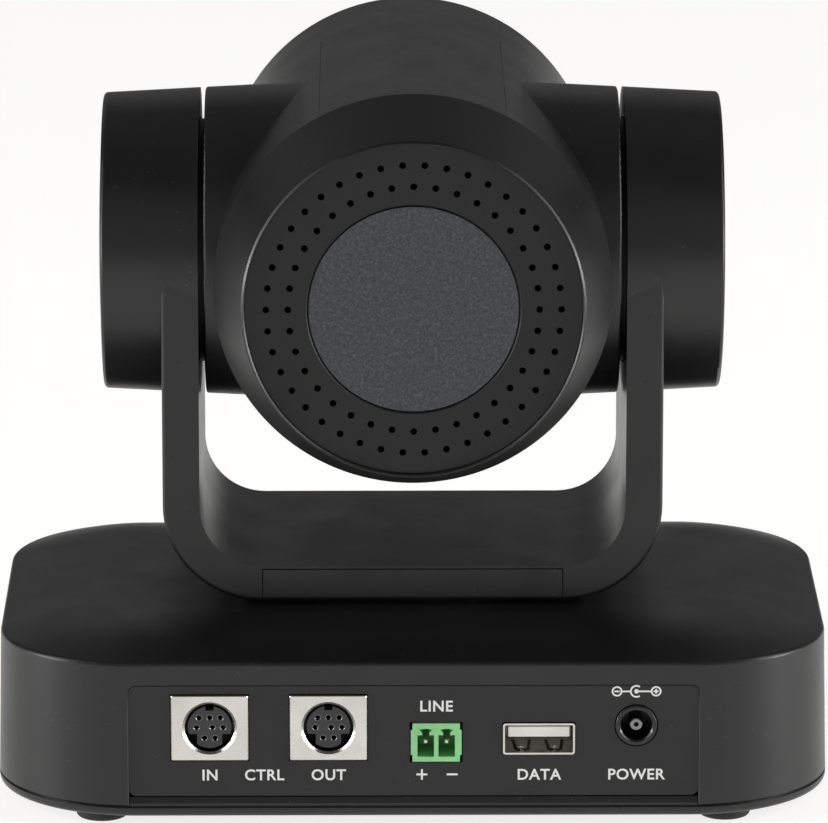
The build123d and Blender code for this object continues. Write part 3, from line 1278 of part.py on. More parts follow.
with BuildPart() as rear_cap:
    spigot_r = barrel_radius(BARREL_RIM_Y + CAP_SPIGOT) - BARREL_WALL - SLIP
    revolve(
        outline(
            Plane.YZ,
            [
                (BARREL_RIM_Y, TILT_Z + spigot_r - CAP_WALL),
                (BARREL_RIM_Y + CAP_SPIGOT, TILT_Z + spigot_r - CAP_WALL),
                (BARREL_RIM_Y + CAP_SPIGOT, TILT_Z + spigot_r),
                (BARREL_RIM_Y, TILT_Z + spigot_r),
                (BARREL_RIM_Y, TILT_Z + BARREL_RIM_R),
                (CAP_REAR_Y + CAP_EDGE_BEVEL, TILT_Z + CAP_REAR_R),
                (CAP_REAR_Y, TILT_Z + CAP_REAR_R - CAP_LIP + CAP_LIP_BEVEL),
                (CAP_REAR_Y + CAP_LIP_BEVEL, TILT_Z + CAP_REAR_R - CAP_LIP),
                (VENT_FACE_Y + VENT_THICK, TILT_Z + CAP_REAR_R - CAP_LIP),
                (VENT_FACE_Y + VENT_THICK, TILT_Z + CAP_REAR_R - 2 * CAP_WALL),
                (VENT_FACE_Y + VENT_THICK + CAP_WALL, TILT_Z + CAP_REAR_R - 2 * CAP_WALL),
            ],
        ),
        axis=LENS_AXIS,
    )
save(rear_cap.part, "rear_cap")

with BuildPart() as vent_plate:
    with BuildSketch(Plane.XZ.offset(-VENT_FACE_Y)):
        with Locations((0, TILT_Z)):
            Circle(CAP_REAR_R - CAP_LIP - SLIP)
            for ring_r, count, first in VENT_RINGS:
                with PolarLocations(ring_r, count, start_angle=first):
                    Circle(VENT_HOLE_R, mode=Mode.SUBTRACT)
    extrude(amount=-VENT_THICK)
    with BuildSketch(Plane.XZ.offset(-VENT_FACE_Y)):
        with Locations((0, TILT_Z)):
            Circle(BADGE_R + BADGE_GAP)
    extrude(amount=-BADGE_POCKET, mode=Mode.SUBTRACT)
    pocket_rim = (
        vent_plate.edges()
        .filter_by(GeomType.CIRCLE)
        .filter_by(lambda e: abs(e.radius - BADGE_R - BADGE_GAP) < 0.01)
        .group_by(Axis.Y)[0]
    )
    chamfer(pocket_rim, length=BADGE_POCKET_BEVEL)
save(vent_plate.part, "vent_plate")

with BuildPart() as badge_disc:
    with BuildSketch(Plane.XZ.offset(-VENT_FACE_Y - BADGE_POCKET)):
        with Locations((0, TILT_Z)):
            Circle(BADGE_R)
    extrude(amount=BADGE_THICK)
save(badge_disc.part, "badge_disc")


def trunnion(side):
    """Turning hub of the head: a broad disc in the drum's mouth and a shaft in the bush."""
    with BuildPart() as hub:
        with BuildSketch(Plane.YZ.offset(HUB_FACE_X)):
            with Locations((0, TILT_Z)):
                Circle(HUB_R)
        extrude(amount=HUB_THICK)
        with BuildSketch(Plane.YZ.offset(STUB_END_HALF - STUB_END_WALL)):
            with Locations((0, TILT_Z)):
                Circle(TRUNNION_PLUG_R)
        extrude(amount=STUB_END_WALL)
        with BuildSketch(Plane.YZ.offset(HUB_FACE_X)):
            with Locations((0, TILT_Z)):
                Circle(TILT_SHAFT_R)
        extrude(amount=TILT_BOSS_END + 0.6 - HUB_FACE_X)
    if side < 0:
        return mirror(hub.part, about=Plane.YZ)
    return hub.part


for side_name, side in SIDES.items():
    save(trunnion(side), f"{side_name}_trunnion")

with BuildPart() as front_bezel:
    bezel_spigot_r = barrel_radius(BARREL_FRONT_Y) - BARREL_WALL - SLIP
    shoulder_r = barrel_radius(BEZEL_SHOULDER_Y)
    window_back_y = BEZEL_FRONT_Y - WINDOW_SET_BACK - WINDOW_THICK
    with BuildSketch(Plane.YZ):
        with BuildLine():
            Polyline(
                (BEZEL_FRONT_Y, TILT_Z + BEZEL_FACE_R),
                (BEZEL_FRONT_Y, TILT_Z + WINDOW_R + 1.5),
                (BEZEL_FRONT_Y - WINDOW_SET_BACK, TILT_Z + WINDOW_R + SLIP),
                (window_back_y, TILT_Z + WINDOW_R + SLIP),
                (window_back_y, TILT_Z + BEZEL_MOUTH_R),
                (window_back_y - BEZEL_WALL, TILT_Z + BEZEL_MOUTH_R),
                (BARREL_FRONT_Y + 0.6, TILT_Z + bezel_spigot_r - BEZEL_WALL),
                (BARREL_FRONT_Y - BEZEL_SPIGOT, TILT_Z + bezel_spigot_r - BEZEL_WALL),
                (BARREL_FRONT_Y - BEZEL_SPIGOT, TILT_Z + bezel_spigot_r),
                (BARREL_FRONT_Y, TILT_Z + bezel_spigot_r),
                (BARREL_FRONT_Y, TILT_Z + barrel_radius(BARREL_FRONT_Y)),
                (BEZEL_SHOULDER_Y, TILT_Z + shoulder_r),
            )
            ThreePointArc(
                (BEZEL_SHOULDER_Y, TILT_Z + shoulder_r),
                (
                    (BEZEL_SHOULDER_Y + BEZEL_FRONT_Y) / 2 + 0.5,
                    TILT_Z + (shoulder_r + BEZEL_FACE_R) / 2 + 0.5,
                ),
                (BEZEL_FRONT_Y, TILT_Z + BEZEL_FACE_R),
            )
        make_face()
    revolve(axis=LENS_AXIS)
save(front_bezel.part, "front_bezel")

with BuildPart() as front_window:
    with BuildSketch(Plane.XZ.offset(-window_back_y)):
        with Locations((0, TILT_Z)):
            Circle(WINDOW_R)
    extrude(amount=-WINDOW_THICK)
save(front_window.part, "front_window")

# ---------------------------------------------------------------- lens assembly

rod_spots = [(-ROD_OFFSET, TILT_Z), (ROD_OFFSET, TILT_Z)]
tube_rear_y = CHASSIS_Y
rod_front_y = FRONT_LENS_Y - LENS_SEAT - FRONT_LENS_SAG

with BuildPart() as head_chassis:
    with BuildSketch(Plane.XZ.offset(-CHASSIS_BACK_Y)):
        with Locations((0, TILT_Z)):
            Circle(barrel_radius(CHASSIS_Y) - BARREL_WALL - CHASSIS_GAP)
            Circle(CHASSIS_EYE_R, mode=Mode.SUBTRACT)
        with Locations(chassis_spots):
            Circle(SCREW_HOLE_R, mode=Mode.SUBTRACT)
    extrude(amount=-CHASSIS_THICK)
    board_post = SENSOR_BOARD / 2 - 3
    with BuildSketch(Plane.XZ.offset(-CHASSIS_BACK_Y - 0.5)):
        with Locations(
            [(x, TILT_Z + z) for x in (-board_post, board_post) for z in (-board_post, board_post)]
        ):
            Circle(2)
    extrude(amount=SENSOR_BOARD_GAP + 0.5)
save(head_chassis.part, "head_chassis")

chassis_screw_plane = Plane((0, CHASSIS_BACK_Y, 0), x_dir=(-1, 0, 0), z_dir=(0, 1, 0))
save(screws(chassis_screw_plane, chassis_spots, SCREW_LENGTH), "chassis_screws")

with BuildPart() as lens_tube:
    with BuildSketch(Plane.XZ.offset(-tube_rear_y)):
        with Locations((0, TILT_Z)):
            Circle(TUBE_OUTER_R)
    extrude(amount=tube_rear_y - TUBE_FRONT_Y)
    with BuildSketch(Plane.XZ.offset(-TUBE_FRONT_Y)):
        with Locations((0, TILT_Z)):
            Circle(TUBE_FLANGE_R)
    extrude(amount=TUBE_FLANGE)
    with BuildSketch(Plane.XZ.offset(-tube_rear_y)):
        with Locations((0, TILT_Z)):
            Circle(CHASSIS_EYE_R)
    extrude(amount=-TUBE_FLOOR - 1, mode=Mode.SUBTRACT)
    with BuildSketch(Plane.XZ.offset(-tube_rear_y - TUBE_FLOOR)):
        with Locations((0, TILT_Z)):
            Circle(TUBE_INNER_R)
    extrude(amount=tube_rear_y + TUBE_FLOOR - TUBE_FRONT_Y - 1, mode=Mode.SUBTRACT)
save(lens_tube.part, "lens_tube")

with BuildPart() as guide_rods:
    with BuildSketch(Plane.XZ.offset(-tube_rear_y - TUBE_FLOOR)):
        with Locations(rod_spots):
            Circle(ROD_R)
    extrude(amount=tube_rear_y + TUBE_FLOOR - rod_front_y)
save(guide_rods.part, "guide_rods")

with BuildPart() as front_lens:
    revolve(
        lens_profile(
            FRONT_LENS_Y + LENS_SEAT_GAP, FRONT_LENS_R, FRONT_LENS_EDGE, FRONT_LENS_SAG
        ),
        axis=LENS_AXIS,
    )
save(front_lens.part, "front_lens")

with BuildPart() as front_lens_cell:
    with BuildSketch(Plane.XZ.offset(-FRONT_LENS_Y + LENS_SEAT)):
        with Locations((0, TILT_Z)):
            Circle(TUBE_INNER_R)
            Circle(FRONT_LENS_R - LENS_SEAT, mode=Mode.SUBTRACT)
    extrude(amount=-LENS_SEAT)
    with BuildSketch(Plane.XZ.offset(-FRONT_LENS_Y)):
        with Locations((0, TILT_Z)):
            Circle(TUBE_INNER_R)
            Circle(FRONT_LENS_R, mode=Mode.SUBTRACT)
    extrude(amount=-FRONT_LENS_EDGE - 1.2)
save(front_lens_cell.part, "front_lens_cell")


def carrier(y, lens_r):
    """Sliding ring that holds one lens group and runs on the guide rods."""
    with BuildPart() as ring:
        with BuildSketch(Plane.XZ.offset(-y)):
            with Locations((0, TILT_Z)):
                Circle(CARRIER_R)
                Circle(lens_r - LENS_SEAT, mode=Mode.SUBTRACT)
            with Locations(rod_spots):
                Circle(ROD_R + RUNNING, mode=Mode.SUBTRACT)
        extrude(amount=-CARRIER_LENGTH)
        with BuildSketch(Plane.XZ.offset(-y - CARRIER_LENGTH / 2)):
            with Locations((0, TILT_Z)):
                Circle(lens_r)
        extrude(amount=-CARRIER_LENGTH, mode=Mode.SUBTRACT)
    return ring.part


for group, group_y, group_r in (("zoom", ZOOM_Y, ZOOM_LENS_R), ("focus", FOCUS_Y, FOCUS_LENS_R)):
    save(carrier(group_y, group_r), f"{group}_carrier")
    with BuildPart() as group_lens:
        revolve(
            lens_profile(
                group_y + CARRIER_LENGTH / 2 + LENS_SEAT_GAP, group_r, GROUP_LENS_EDGE, GROUP_LENS_SAG
            ),
            axis=LENS_AXIS,
        )
    save(group_lens.part, f"{group}_lens")

sensor_board_y = CHASSIS_BACK_Y - SENSOR_BOARD_GAP

with BuildPart() as sensor_board:
    with BuildSketch(Plane.XZ.offset(-sensor_board_y)):
        with Locations((0, TILT_Z)):
            RectangleRounded(SENSOR_BOARD, SENSOR_BOARD, 2)
    extrude(amount=BOARD_THICK)
save(sensor_board.part, "sensor_board")

with BuildPart() as image_sensor:
    with BuildSketch(Plane.XZ.offset(-sensor_board_y)):
        with Locations((0, TILT_Z)):
            Rectangle(*SENSOR_SIZE)
    extrude(amount=-SENSOR_THICK)
save(image_sensor.part, "image_sensor")
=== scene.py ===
import bmesh
import bpy
import json
import math
from mathutils import Matrix, Vector


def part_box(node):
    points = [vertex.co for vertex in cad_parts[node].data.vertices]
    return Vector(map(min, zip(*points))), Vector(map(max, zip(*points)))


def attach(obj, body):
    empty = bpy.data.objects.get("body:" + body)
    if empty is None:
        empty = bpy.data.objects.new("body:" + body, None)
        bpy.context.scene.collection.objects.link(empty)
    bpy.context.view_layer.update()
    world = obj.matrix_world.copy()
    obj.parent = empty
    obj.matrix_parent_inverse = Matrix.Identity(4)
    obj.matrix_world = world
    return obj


# Looks of the pan-tilt-zoom camera. Metres, +Z up, the lens looks along +Y,
# and the connector panel faces -Y.

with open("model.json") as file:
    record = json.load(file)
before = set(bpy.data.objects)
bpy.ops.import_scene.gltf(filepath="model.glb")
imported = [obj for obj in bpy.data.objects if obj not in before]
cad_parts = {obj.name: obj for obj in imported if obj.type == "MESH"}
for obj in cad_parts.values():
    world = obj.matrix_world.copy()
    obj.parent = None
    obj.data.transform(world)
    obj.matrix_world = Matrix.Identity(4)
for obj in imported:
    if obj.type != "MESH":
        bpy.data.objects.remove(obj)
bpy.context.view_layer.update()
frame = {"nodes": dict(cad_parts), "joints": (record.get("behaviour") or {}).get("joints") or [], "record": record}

MM = 0.001
TILT_AXIS_Z = [j for j in frame["joints"] if j["name"] == "tilt"][0]["pos_m"][2]
panel_face_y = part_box("rear_panel")[0].y


def centre(node):
    """Middle of a node's box."""
    low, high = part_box(node)
    return (low + high) / 2


# ---------------------------------------------------------------- material helpers

GRAIN_HEIGHT = 0.000018
DUST_TONE = (0.16, 0.16, 0.155)


class Recipe:
    """A material's node tree with its shader, and short ways to add to it."""

    def __init__(self, name):
        self.material = bpy.data.materials.new(name)
        self.material.use_nodes = True
        self.nodes = self.material.node_tree.nodes
        self.links = self.material.node_tree.links
        self.shader = self.nodes["Principled BSDF"]
        self.place = self.nodes.new("ShaderNodeTexCoord").outputs["Object"]

    def set(self, **values):
        """Plain values for the shader's sockets, with _ for each blank in a socket's name."""
        for key, value in values.items():
            self.shader.inputs[key.replace("_", " ")].default_value = value

    def noise(self, scale, detail=3.0, roughness=0.55, stretch=None):
        """Noise whose features are about 1/scale metres; stretch squeezes it along the axes."""
        node = self.nodes.new("ShaderNodeTexNoise")
        node.inputs["Scale"].default_value = scale
        node.inputs["Detail"].default_value = detail
        node.inputs["Roughness"].default_value = roughness
        place = self.place
        if stretch:
            mapping = self.nodes.new("ShaderNodeMapping")
            mapping.inputs["Scale"].default_value = stretch
            self.links.new(place, mapping.inputs["Vector"])
            place = mapping.outputs["Vector"]
        self.links.new(place, node.inputs["Vector"])
        return node.outputs["Fac"]

    def cells(self, scale):
        """Voronoi cells, about 1/scale metres wide."""
        node = self.nodes.new("ShaderNodeTexVoronoi")
        node.inputs["Scale"].default_value = scale
        self.links.new(self.place, node.inputs["Vector"])
        return node

    def ramp(self, value, stops):
        """A colour ramp; stops are (position, colour)."""
        node = self.nodes.new("ShaderNodeValToRGB")
        ramp = node.color_ramp
        while len(ramp.elements) < len(stops):
            ramp.elements.new(0.5)
        for element, (position, colour) in zip(ramp.elements, stops):
            element.position = position
            element.color = (*colour, 1.0)
        self.links.new(value, node.inputs["Fac"])
        return node.outputs["Color"]

    def span(self, value, low, high, from_low=0.3, from_high=0.7):
        """A value stretched from its own range to low..high."""
        node = self.nodes.new("ShaderNodeMapRange")
        node.inputs["From Min"].default_value = from_low
        node.inputs["From Max"].default_value = from_high
        node.inputs["To Min"].default_value = low
        node.inputs["To Max"].default_value = high
        self.links.new(value, node.inputs["Value"])
        return node.outputs["Result"]

    def mix(self, fac, first, second):
        """Two colours, or sockets, mixed by a factor socket."""
        node = self.nodes.new("ShaderNodeMix")
        node.data_type = "RGBA"
        self.links.new(fac, node.inputs["Factor"])
        for key, value in (("A", first), ("B", second)):
            socket = [s for s in node.inputs if s.name == key and s.type == "RGBA"][0]
            if isinstance(value, tuple):
                socket.default_value = (*value, 1.0)
            else:
                self.links.new(value, socket)
        return [s for s in node.outputs if s.type == "RGBA"][0]

    def colour(self, socket):
        self.links.new(socket, self.shader.inputs["Base Color"])

    def roughness(self, socket):
        self.links.new(socket, self.shader.inputs["Roughness"])

    def bumps(self, *layers):
        """Stacked bump layers, each (height socket, distance in metres, strength)."""
        normal = None
        for height, distance, strength in layers:
            bump = self.nodes.new("ShaderNodeBump")
            bump.inputs["Distance"].default_value = distance
            bump.inputs["Strength"].default_value = strength
            self.links.new(height, bump.inputs["Height"])
            if normal is not None:
                self.links.new(normal, bump.inputs["Normal"])
            normal = bump.outputs["Normal"]
        self.links.new(normal, self.shader.inputs["Normal"])


def shade(colour, factor):
    """The same colour, darker or lighter."""
    return tuple(c * factor for c in colour)


def moulded_plastic(name, colour, low_rough, high_rough, grain=5200.0, dust=0.0, specular=0.5):
    """Moulded plastic: fine spark-erosion grain, faint mottling and a few dust specks."""
    recipe = Recipe(name)
    broad = recipe.noise(38.0, detail=4.0)
    fine = recipe.noise(grain, detail=2.0)
    tone = recipe.mix(recipe.span(broad, 0.0, 1.0), shade(colour, 0.86), shade(colour, 1.14))
    tone = recipe.mix(recipe.span(fine, 0.0, 0.35), tone, shade(colour, 1.5))
    if dust > 0:
        specks = recipe.cells(420.0)
        spot = recipe.span(specks.outputs["Distance"], dust, 0.0, 0.03, 0.07)
        tone = recipe.mix(spot, tone, DUST_TONE)
    recipe.colour(tone)
    recipe.roughness(recipe.span(recipe.noise(95.0, detail=5.0), low_rough, high_rough))
    recipe.set(Specular_IOR_Level=specular)
    recipe.bumps(
        (recipe.noise(grain, detail=2.0), GRAIN_HEIGHT, 0.55),
        (recipe.noise(210.0, detail=2.0), 0.00002, 0.10),
    )
    return recipe.material


def speckled_paint(name):
    """Dark grey paint with a fine metallic flake."""
    recipe = Recipe(name)
    flakes = recipe.cells(2600.0)
    grain = recipe.noise(1900.0, detail=3.0, roughness=0.7)
    stops = [
        (0.30, (0.026, 0.028, 0.031)),
        (0.52, (0.047, 0.050, 0.055)),
        (0.72, (0.105, 0.110, 0.118)),
    ]
    base = recipe.ramp(grain, stops)
    bright = recipe.span(flakes.outputs["Color"], 0.0, 0.45, 0.62, 0.95)
    recipe.colour(recipe.mix(bright, base, (0.125, 0.130, 0.138)))
    recipe.roughness(recipe.span(grain, 0.50, 0.68))
    recipe.set(Metallic=0.15)
    recipe.bumps((grain, 0.00003, 0.6))
    return recipe.material


def plated_metal(name, colour, low_rough, high_rough, brushed=(1.0, 1.0, 1.0), scale=900.0,
                 relief=0.35):
    """Bare or plated metal with fine drawing marks along one axis."""
    recipe = Recipe(name)
    marks = recipe.noise(scale, detail=4.0, stretch=brushed)
    stain = recipe.noise(160.0, detail=5.0)
    recipe.colour(
        recipe.mix(recipe.span(stain, 0.0, 1.0), shade(colour, 0.88), shade(colour, 1.06))
    )
    recipe.roughness(recipe.span(marks, low_rough, high_rough))
    recipe.set(Metallic=1.0)
    recipe.bumps((marks, 0.000012, relief), (stain, 0.00001, 0.4 * relief))
    return recipe.material


def coated_glass(name, tint, coat_tint):
    """Clear optical glass with a thin anti-reflection colour."""
    recipe = Recipe(name)
    smudge = recipe.noise(55.0, detail=3.0)
    recipe.colour(recipe.mix(recipe.span(smudge, 0.0, 1.0), tint, shade(tint, 0.94)))
    recipe.roughness(recipe.span(smudge, 0.015, 0.05))
    recipe.set(Transmission_Weight=1.0, IOR=1.45, Coat_Weight=0.25, Coat_Roughness=0.03)
    recipe.shader.inputs["Coat Tint"].default_value = (*coat_tint, 1.0)
    recipe.bumps((smudge, 0.000004, 0.1))
    return recipe.material


def glossy_window(name, colour):
    """A polished, nearly black window or filter."""
    recipe = Recipe(name)
    swirl = recipe.noise(70.0, detail=3.0)
    recipe.colour(recipe.mix(recipe.span(swirl, 0.0, 1.0), shade(colour, 0.8), shade(colour, 1.3)))
    recipe.roughness(recipe.span(swirl, 0.07, 0.13))
    recipe.set(Coat_Weight=0.4, Coat_Roughness=0.05)
    recipe.bumps((swirl, 0.00001, 0.08))
    return recipe.material


def circuit_board(name):
    """Solder mask over copper tracks."""
    recipe = Recipe(name)
    tracks = recipe.cells(260.0)
    tracks.distance = "MANHATTAN"
    lines = recipe.span(tracks.outputs["Distance"], 0.0, 1.0, 0.42, 0.46)
    weave = recipe.noise(1400.0, detail=2.0)
    mask = recipe.mix(recipe.span(weave, 0.0, 1.0), (0.012, 0.080, 0.034), (0.018, 0.105, 0.045))
    recipe.colour(recipe.mix(lines, mask, (0.035, 0.170, 0.075)))
    recipe.roughness(recipe.span(weave, 0.22, 0.34))
    recipe.bumps((lines, 0.00003, 0.5), (weave, 0.00001, 0.2))
    return recipe.material


def soft_rubber(name):
    """Matt black rubber with a faint grey bloom."""
    recipe = Recipe(name)
    bloom = recipe.noise(120.0, detail=5.0)
    fine = recipe.noise(3600.0, detail=2.0)
    recipe.colour(
        recipe.mix(recipe.span(bloom, 0.0, 1.0), (0.011, 0.011, 0.011), (0.024, 0.024, 0.023))
    )
    recipe.roughness(recipe.span(fine, 0.62, 0.82))
    recipe.bumps((fine, 0.00003, 0.6), (bloom, 0.00002, 0.2))
    return recipe.material


def printed_ink(name, colour):
    """Screen-printed ink, slightly uneven at its edges and thickness."""
    recipe = Recipe(name)
    cover = recipe.noise(2400.0, detail=4.0)
    recipe.colour(recipe.mix(recipe.span(cover, 0.0, 1.0), shade(colour, 0.88), colour))
    recipe.roughness(recipe.span(cover, 0.45, 0.62))
    recipe.bumps((cover, 0.000008, 0.4))
    return recipe.material


def felt(name):
    """Black fibres that give back almost no light."""
    recipe = Recipe(name)
    fibre = recipe.noise(5200.0, detail=4.0, roughness=0.7)
    recipe.colour(
        recipe.mix(recipe.span(fibre, 0.0, 1.0), (0.0015, 0.0015, 0.0015), (0.004, 0.004, 0.004))
    )
    recipe.roughness(recipe.span(fibre, 0.9, 1.0))
    recipe.set(Specular_IOR_Level=0.1)
    recipe.bumps((fibre, 0.00006, 0.8))
    return recipe.material


CHARCOAL = (0.0085, 0.0085, 0.0088)

# one material for each slot; plastics and metals say their colour, then the ends of their roughness
MATERIALS = {
    "shell": moulded_plastic("satin_charcoal", CHARCOAL, 0.33, 0.41, dust=0.5),
    "panel": moulded_plastic("panel_charcoal", (0.0080, 0.0080, 0.0083), 0.46, 0.56, dust=0.3),
    "vent": moulded_plastic("vent_charcoal", (0.0075, 0.0075, 0.0077), 0.44, 0.52, specular=0.38),
    "badge": speckled_paint("speckled_grey"),
    "rubber": soft_rubber("black_rubber"),
    "nickel": plated_metal(
        "nickel_plate", (0.66, 0.64, 0.60), 0.20, 0.30, brushed=(1.0, 1.0, 6.0), relief=0.10
    ),
    # the contact metal is much darker than plated tin: painted shade for the dark inside the contact holes
    "contact": plated_metal("tin_contact_painted_shade", (0.24, 0.24, 0.24), 0.20, 0.30, relief=0.10),
    "insulator": moulded_plastic("grey_insulator", (0.030, 0.031, 0.034), 0.38, 0.50),
    "terminal": moulded_plastic("green_terminal", (0.26, 0.62, 0.27), 0.30, 0.42, grain=2600.0),
    "tongue": moulded_plastic("white_tongue", (0.80, 0.80, 0.77), 0.40, 0.52),
    "jack": moulded_plastic("jack_black", (0.010, 0.010, 0.011), 0.24, 0.34),
    "brass": plated_metal(
        "turned_brass", (0.72, 0.53, 0.25), 0.24, 0.38, brushed=(1.0, 1.0, 12.0)
    ),
    "steel": plated_metal(
        "zinc_steel", (0.52, 0.52, 0.53), 0.28, 0.42, brushed=(1.0, 8.0, 1.0)
    ),
    "aluminium": plated_metal("cast_aluminium", (0.58, 0.58, 0.60), 0.38, 0.55, scale=500.0),
    "board": circuit_board("solder_mask"),
    "nylon": moulded_plastic("natural_acetal", (0.70, 0.69, 0.63), 0.34, 0.46, grain=1800.0),
    "bronze": plated_metal("sintered_bronze", (0.50, 0.33, 0.17), 0.40, 0.58, scale=1500.0),
    "ir_filter": glossy_window("infrared_filter", (0.020, 0.003, 0.004)),
    "glass": coated_glass("coated_glass", (0.93, 0.95, 0.96), (0.80, 0.72, 0.92)),
    "lens_black": moulded_plastic("lens_black", (0.008, 0.008, 0.009), 0.42, 0.56, grain=3400.0),
    "sensor": glossy_window("sensor_glass", (0.020, 0.028, 0.045)),
    "print": printed_ink("white_ink", (0.93, 0.93, 0.92)),
    "felt": felt("black_felt"),
}


def finish_cad_nodes():
    """Every CAD node takes the material of its slot in the record."""
    for row in frame["record"]["subparts"]:
        node = frame["nodes"][row["node"]]
        node.data.materials.clear()
        node.data.materials.append(MATERIALS[row["material_slot"]])


# ---------------------------------------------------------------- mesh helpers

SHARP_ANGLE = math.radians(35)


def piece(name, mesh, slot, body, smooth=True):
    """A new piece of the given mesh, with its slot's material, riding on a body."""
    mesh.materials.clear()
    mesh.materials.append(MATERIALS[slot])
    obj = bpy.data.objects.new(name, mesh)
    bpy.context.scene.collection.objects.link(obj)
    if smooth:
        for face in mesh.polygons:
            face.use_smooth = True
        mesh.set_sharp_from_angle(angle=SHARP_ANGLE)
    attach(obj, body)
    return obj


def from_bmesh(name, bm):
    """A mesh with its faces turned outward."""
    bmesh.ops.recalc_face_normals(bm, faces=bm.faces)
    mesh = bpy.data.meshes.new(name)
    bm.to_mesh(mesh)
    bm.free()
    return mesh


def add_block(bm, low, high, edge):
    """A box between two corners with rounded edges."""
    made = bmesh.ops.create_cube(bm, size=1.0)
    size = Vector(high) - Vector(low)
    middle = (Vector(high) + Vector(low)) / 2
    for vert in made["verts"]:
        vert.co = Vector(c * s for c, s in zip(vert.co, size)) + middle
    edges = {e for v in made["verts"] for e in v.link_edges}
    bmesh.ops.bevel(bm, geom=list(edges), offset=edge, segments=2, affect="EDGES", profile=0.5)


def add_ring(bm, profile, axis_point, segments):
    """A closed profile of (radius, y) points turned about a line along Y."""
    loops = []
    for radius, y in profile:
        loop = []
        for i in range(segments):
            angle = 2 * math.pi * i / segments
            x = axis_point[0] + radius * math.cos(angle)
            z = axis_point[1] + radius * math.sin(angle)
            loop.append(bm.verts.new((x, y, z)))
        loops.append(loop)
    for a, b in zip(loops, loops[1:] + loops[:1]):
        for i in range(segments):
            j = (i + 1) % segments
            bm.faces.new((a[i], a[j], b[j], b[i]))


def add_taper(bm, x_front, x_back, y_front, y_back, z_front, z_back, thick):
    """A flat strip along +Y; each x is a (low, high) pair and each z its upper face."""
    rows = []
    for (x0, x1), y, z in ((x_front, y_front, z_front), (x_back, y_back, z_back)):
        corners = [(x0, z), (x1, z), (x1, z - thick), (x0, z - thick)]
        rows.append([bm.verts.new((cx, y, cz)) for cx, cz in corners])
    for k in range(4):
        bm.faces.new((rows[0][k], rows[0][(k + 1) % 4], rows[1][(k + 1) % 4], rows[1][k]))
    bm.faces.new(rows[0])
    bm.faces.new(rows[1])


# ---------------------------------------------------------------- printed legends

PRINT_THICK = 0.02 * MM
LEGEND_HEIGHT = 2.0 * MM
LEGEND_WEIGHT = 0.055 * MM
LEGEND_SPACING = 1.08
LEGEND_CURVE_STEPS = 5
FONT_CAP_SHARE = 0.70
LOW_ROW_Z = 9.9 * MM
HIGH_ROW_Z = 22.9 * MM
CONTROL_SHIFT = 0.9 * MM

SIGN_WIDTH = 2.0 * MM
SIGN_LINE = 0.36 * MM
PLUS_SHIFT = 2.6 * MM
MINUS_SHIFT = 2.9 * MM

POLARITY_Z = 25.6 * MM
POLARITY_LINE = 0.30 * MM
POLARITY_HALF_SPAN = 3.55 * MM
POLARITY_RING_R = 0.82 * MM
POLARITY_SIGN_HALF = 0.45 * MM
POLARITY_CUP_R = 1.05 * MM
POLARITY_CUP_ENDS = (55, 305)
POLARITY_DOT_R = 0.42 * MM


def legend(name, text, x, z):
    """A word printed on the connector panel, centred at X and Z."""
    curve = bpy.data.curves.new(name, "FONT")
    curve.body = text
    curve.align_x = "CENTER"
    curve.size = LEGEND_HEIGHT / FONT_CAP_SHARE
    curve.offset = LEGEND_WEIGHT
    curve.extrude = PRINT_THICK / 2
    curve.resolution_u = LEGEND_CURVE_STEPS
    curve.space_character = LEGEND_SPACING
    holder = bpy.data.objects.new(name, curve)
    mesh = bpy.data.meshes.new_from_object(holder)
    bpy.data.objects.remove(holder)
    turn = Matrix.Rotation(math.radians(90), 4, "X")
    move = Matrix.Translation((x, panel_face_y - PRINT_THICK / 2, z - LEGEND_HEIGHT / 2))
    mesh.transform(move @ turn)
    return piece(name, mesh, "print", "base", smooth=False)


def add_print(bm, outline):
    """A thin printed patch on the connector panel; the outline is (x, z) points."""
    front = [bm.verts.new((x, panel_face_y - PRINT_THICK, z)) for x, z in outline]
    back = [bm.verts.new((x, panel_face_y, z)) for x, z in outline]
    bm.faces.new(front)
    bm.faces.new(back)
    for i in range(len(outline)):
        j = (i + 1) % len(outline)
        bm.faces.new((front[i], front[j], back[j], back[i]))


def bar_outline(x0, x1, z, line):
    """Four corners of a level bar."""
    return [(x0, z - line / 2), (x1, z - line / 2), (x1, z + line / 2), (x0, z + line / 2)]


def cross_outline(x, z, half, line):
    """Twelve corners of a plus sign."""
    k = line / 2
    steps = [
        (k, k), (half, k), (half, -k), (k, -k), (k, -half), (-k, -half),
        (-k, -k), (-half, -k), (-half, k), (-k, k), (-k, half), (k, half),
    ]
    return [(x + dx, z + dz) for dx, dz in steps]


def arc_points(x, z, radius, start, end, steps):
    """Points along an arc, from one angle to another in degrees."""
    angles = [math.radians(start + (end - start) * i / steps) for i in range(steps + 1)]
    return [(x + radius * math.cos(a), z + radius * math.sin(a)) for a in angles]


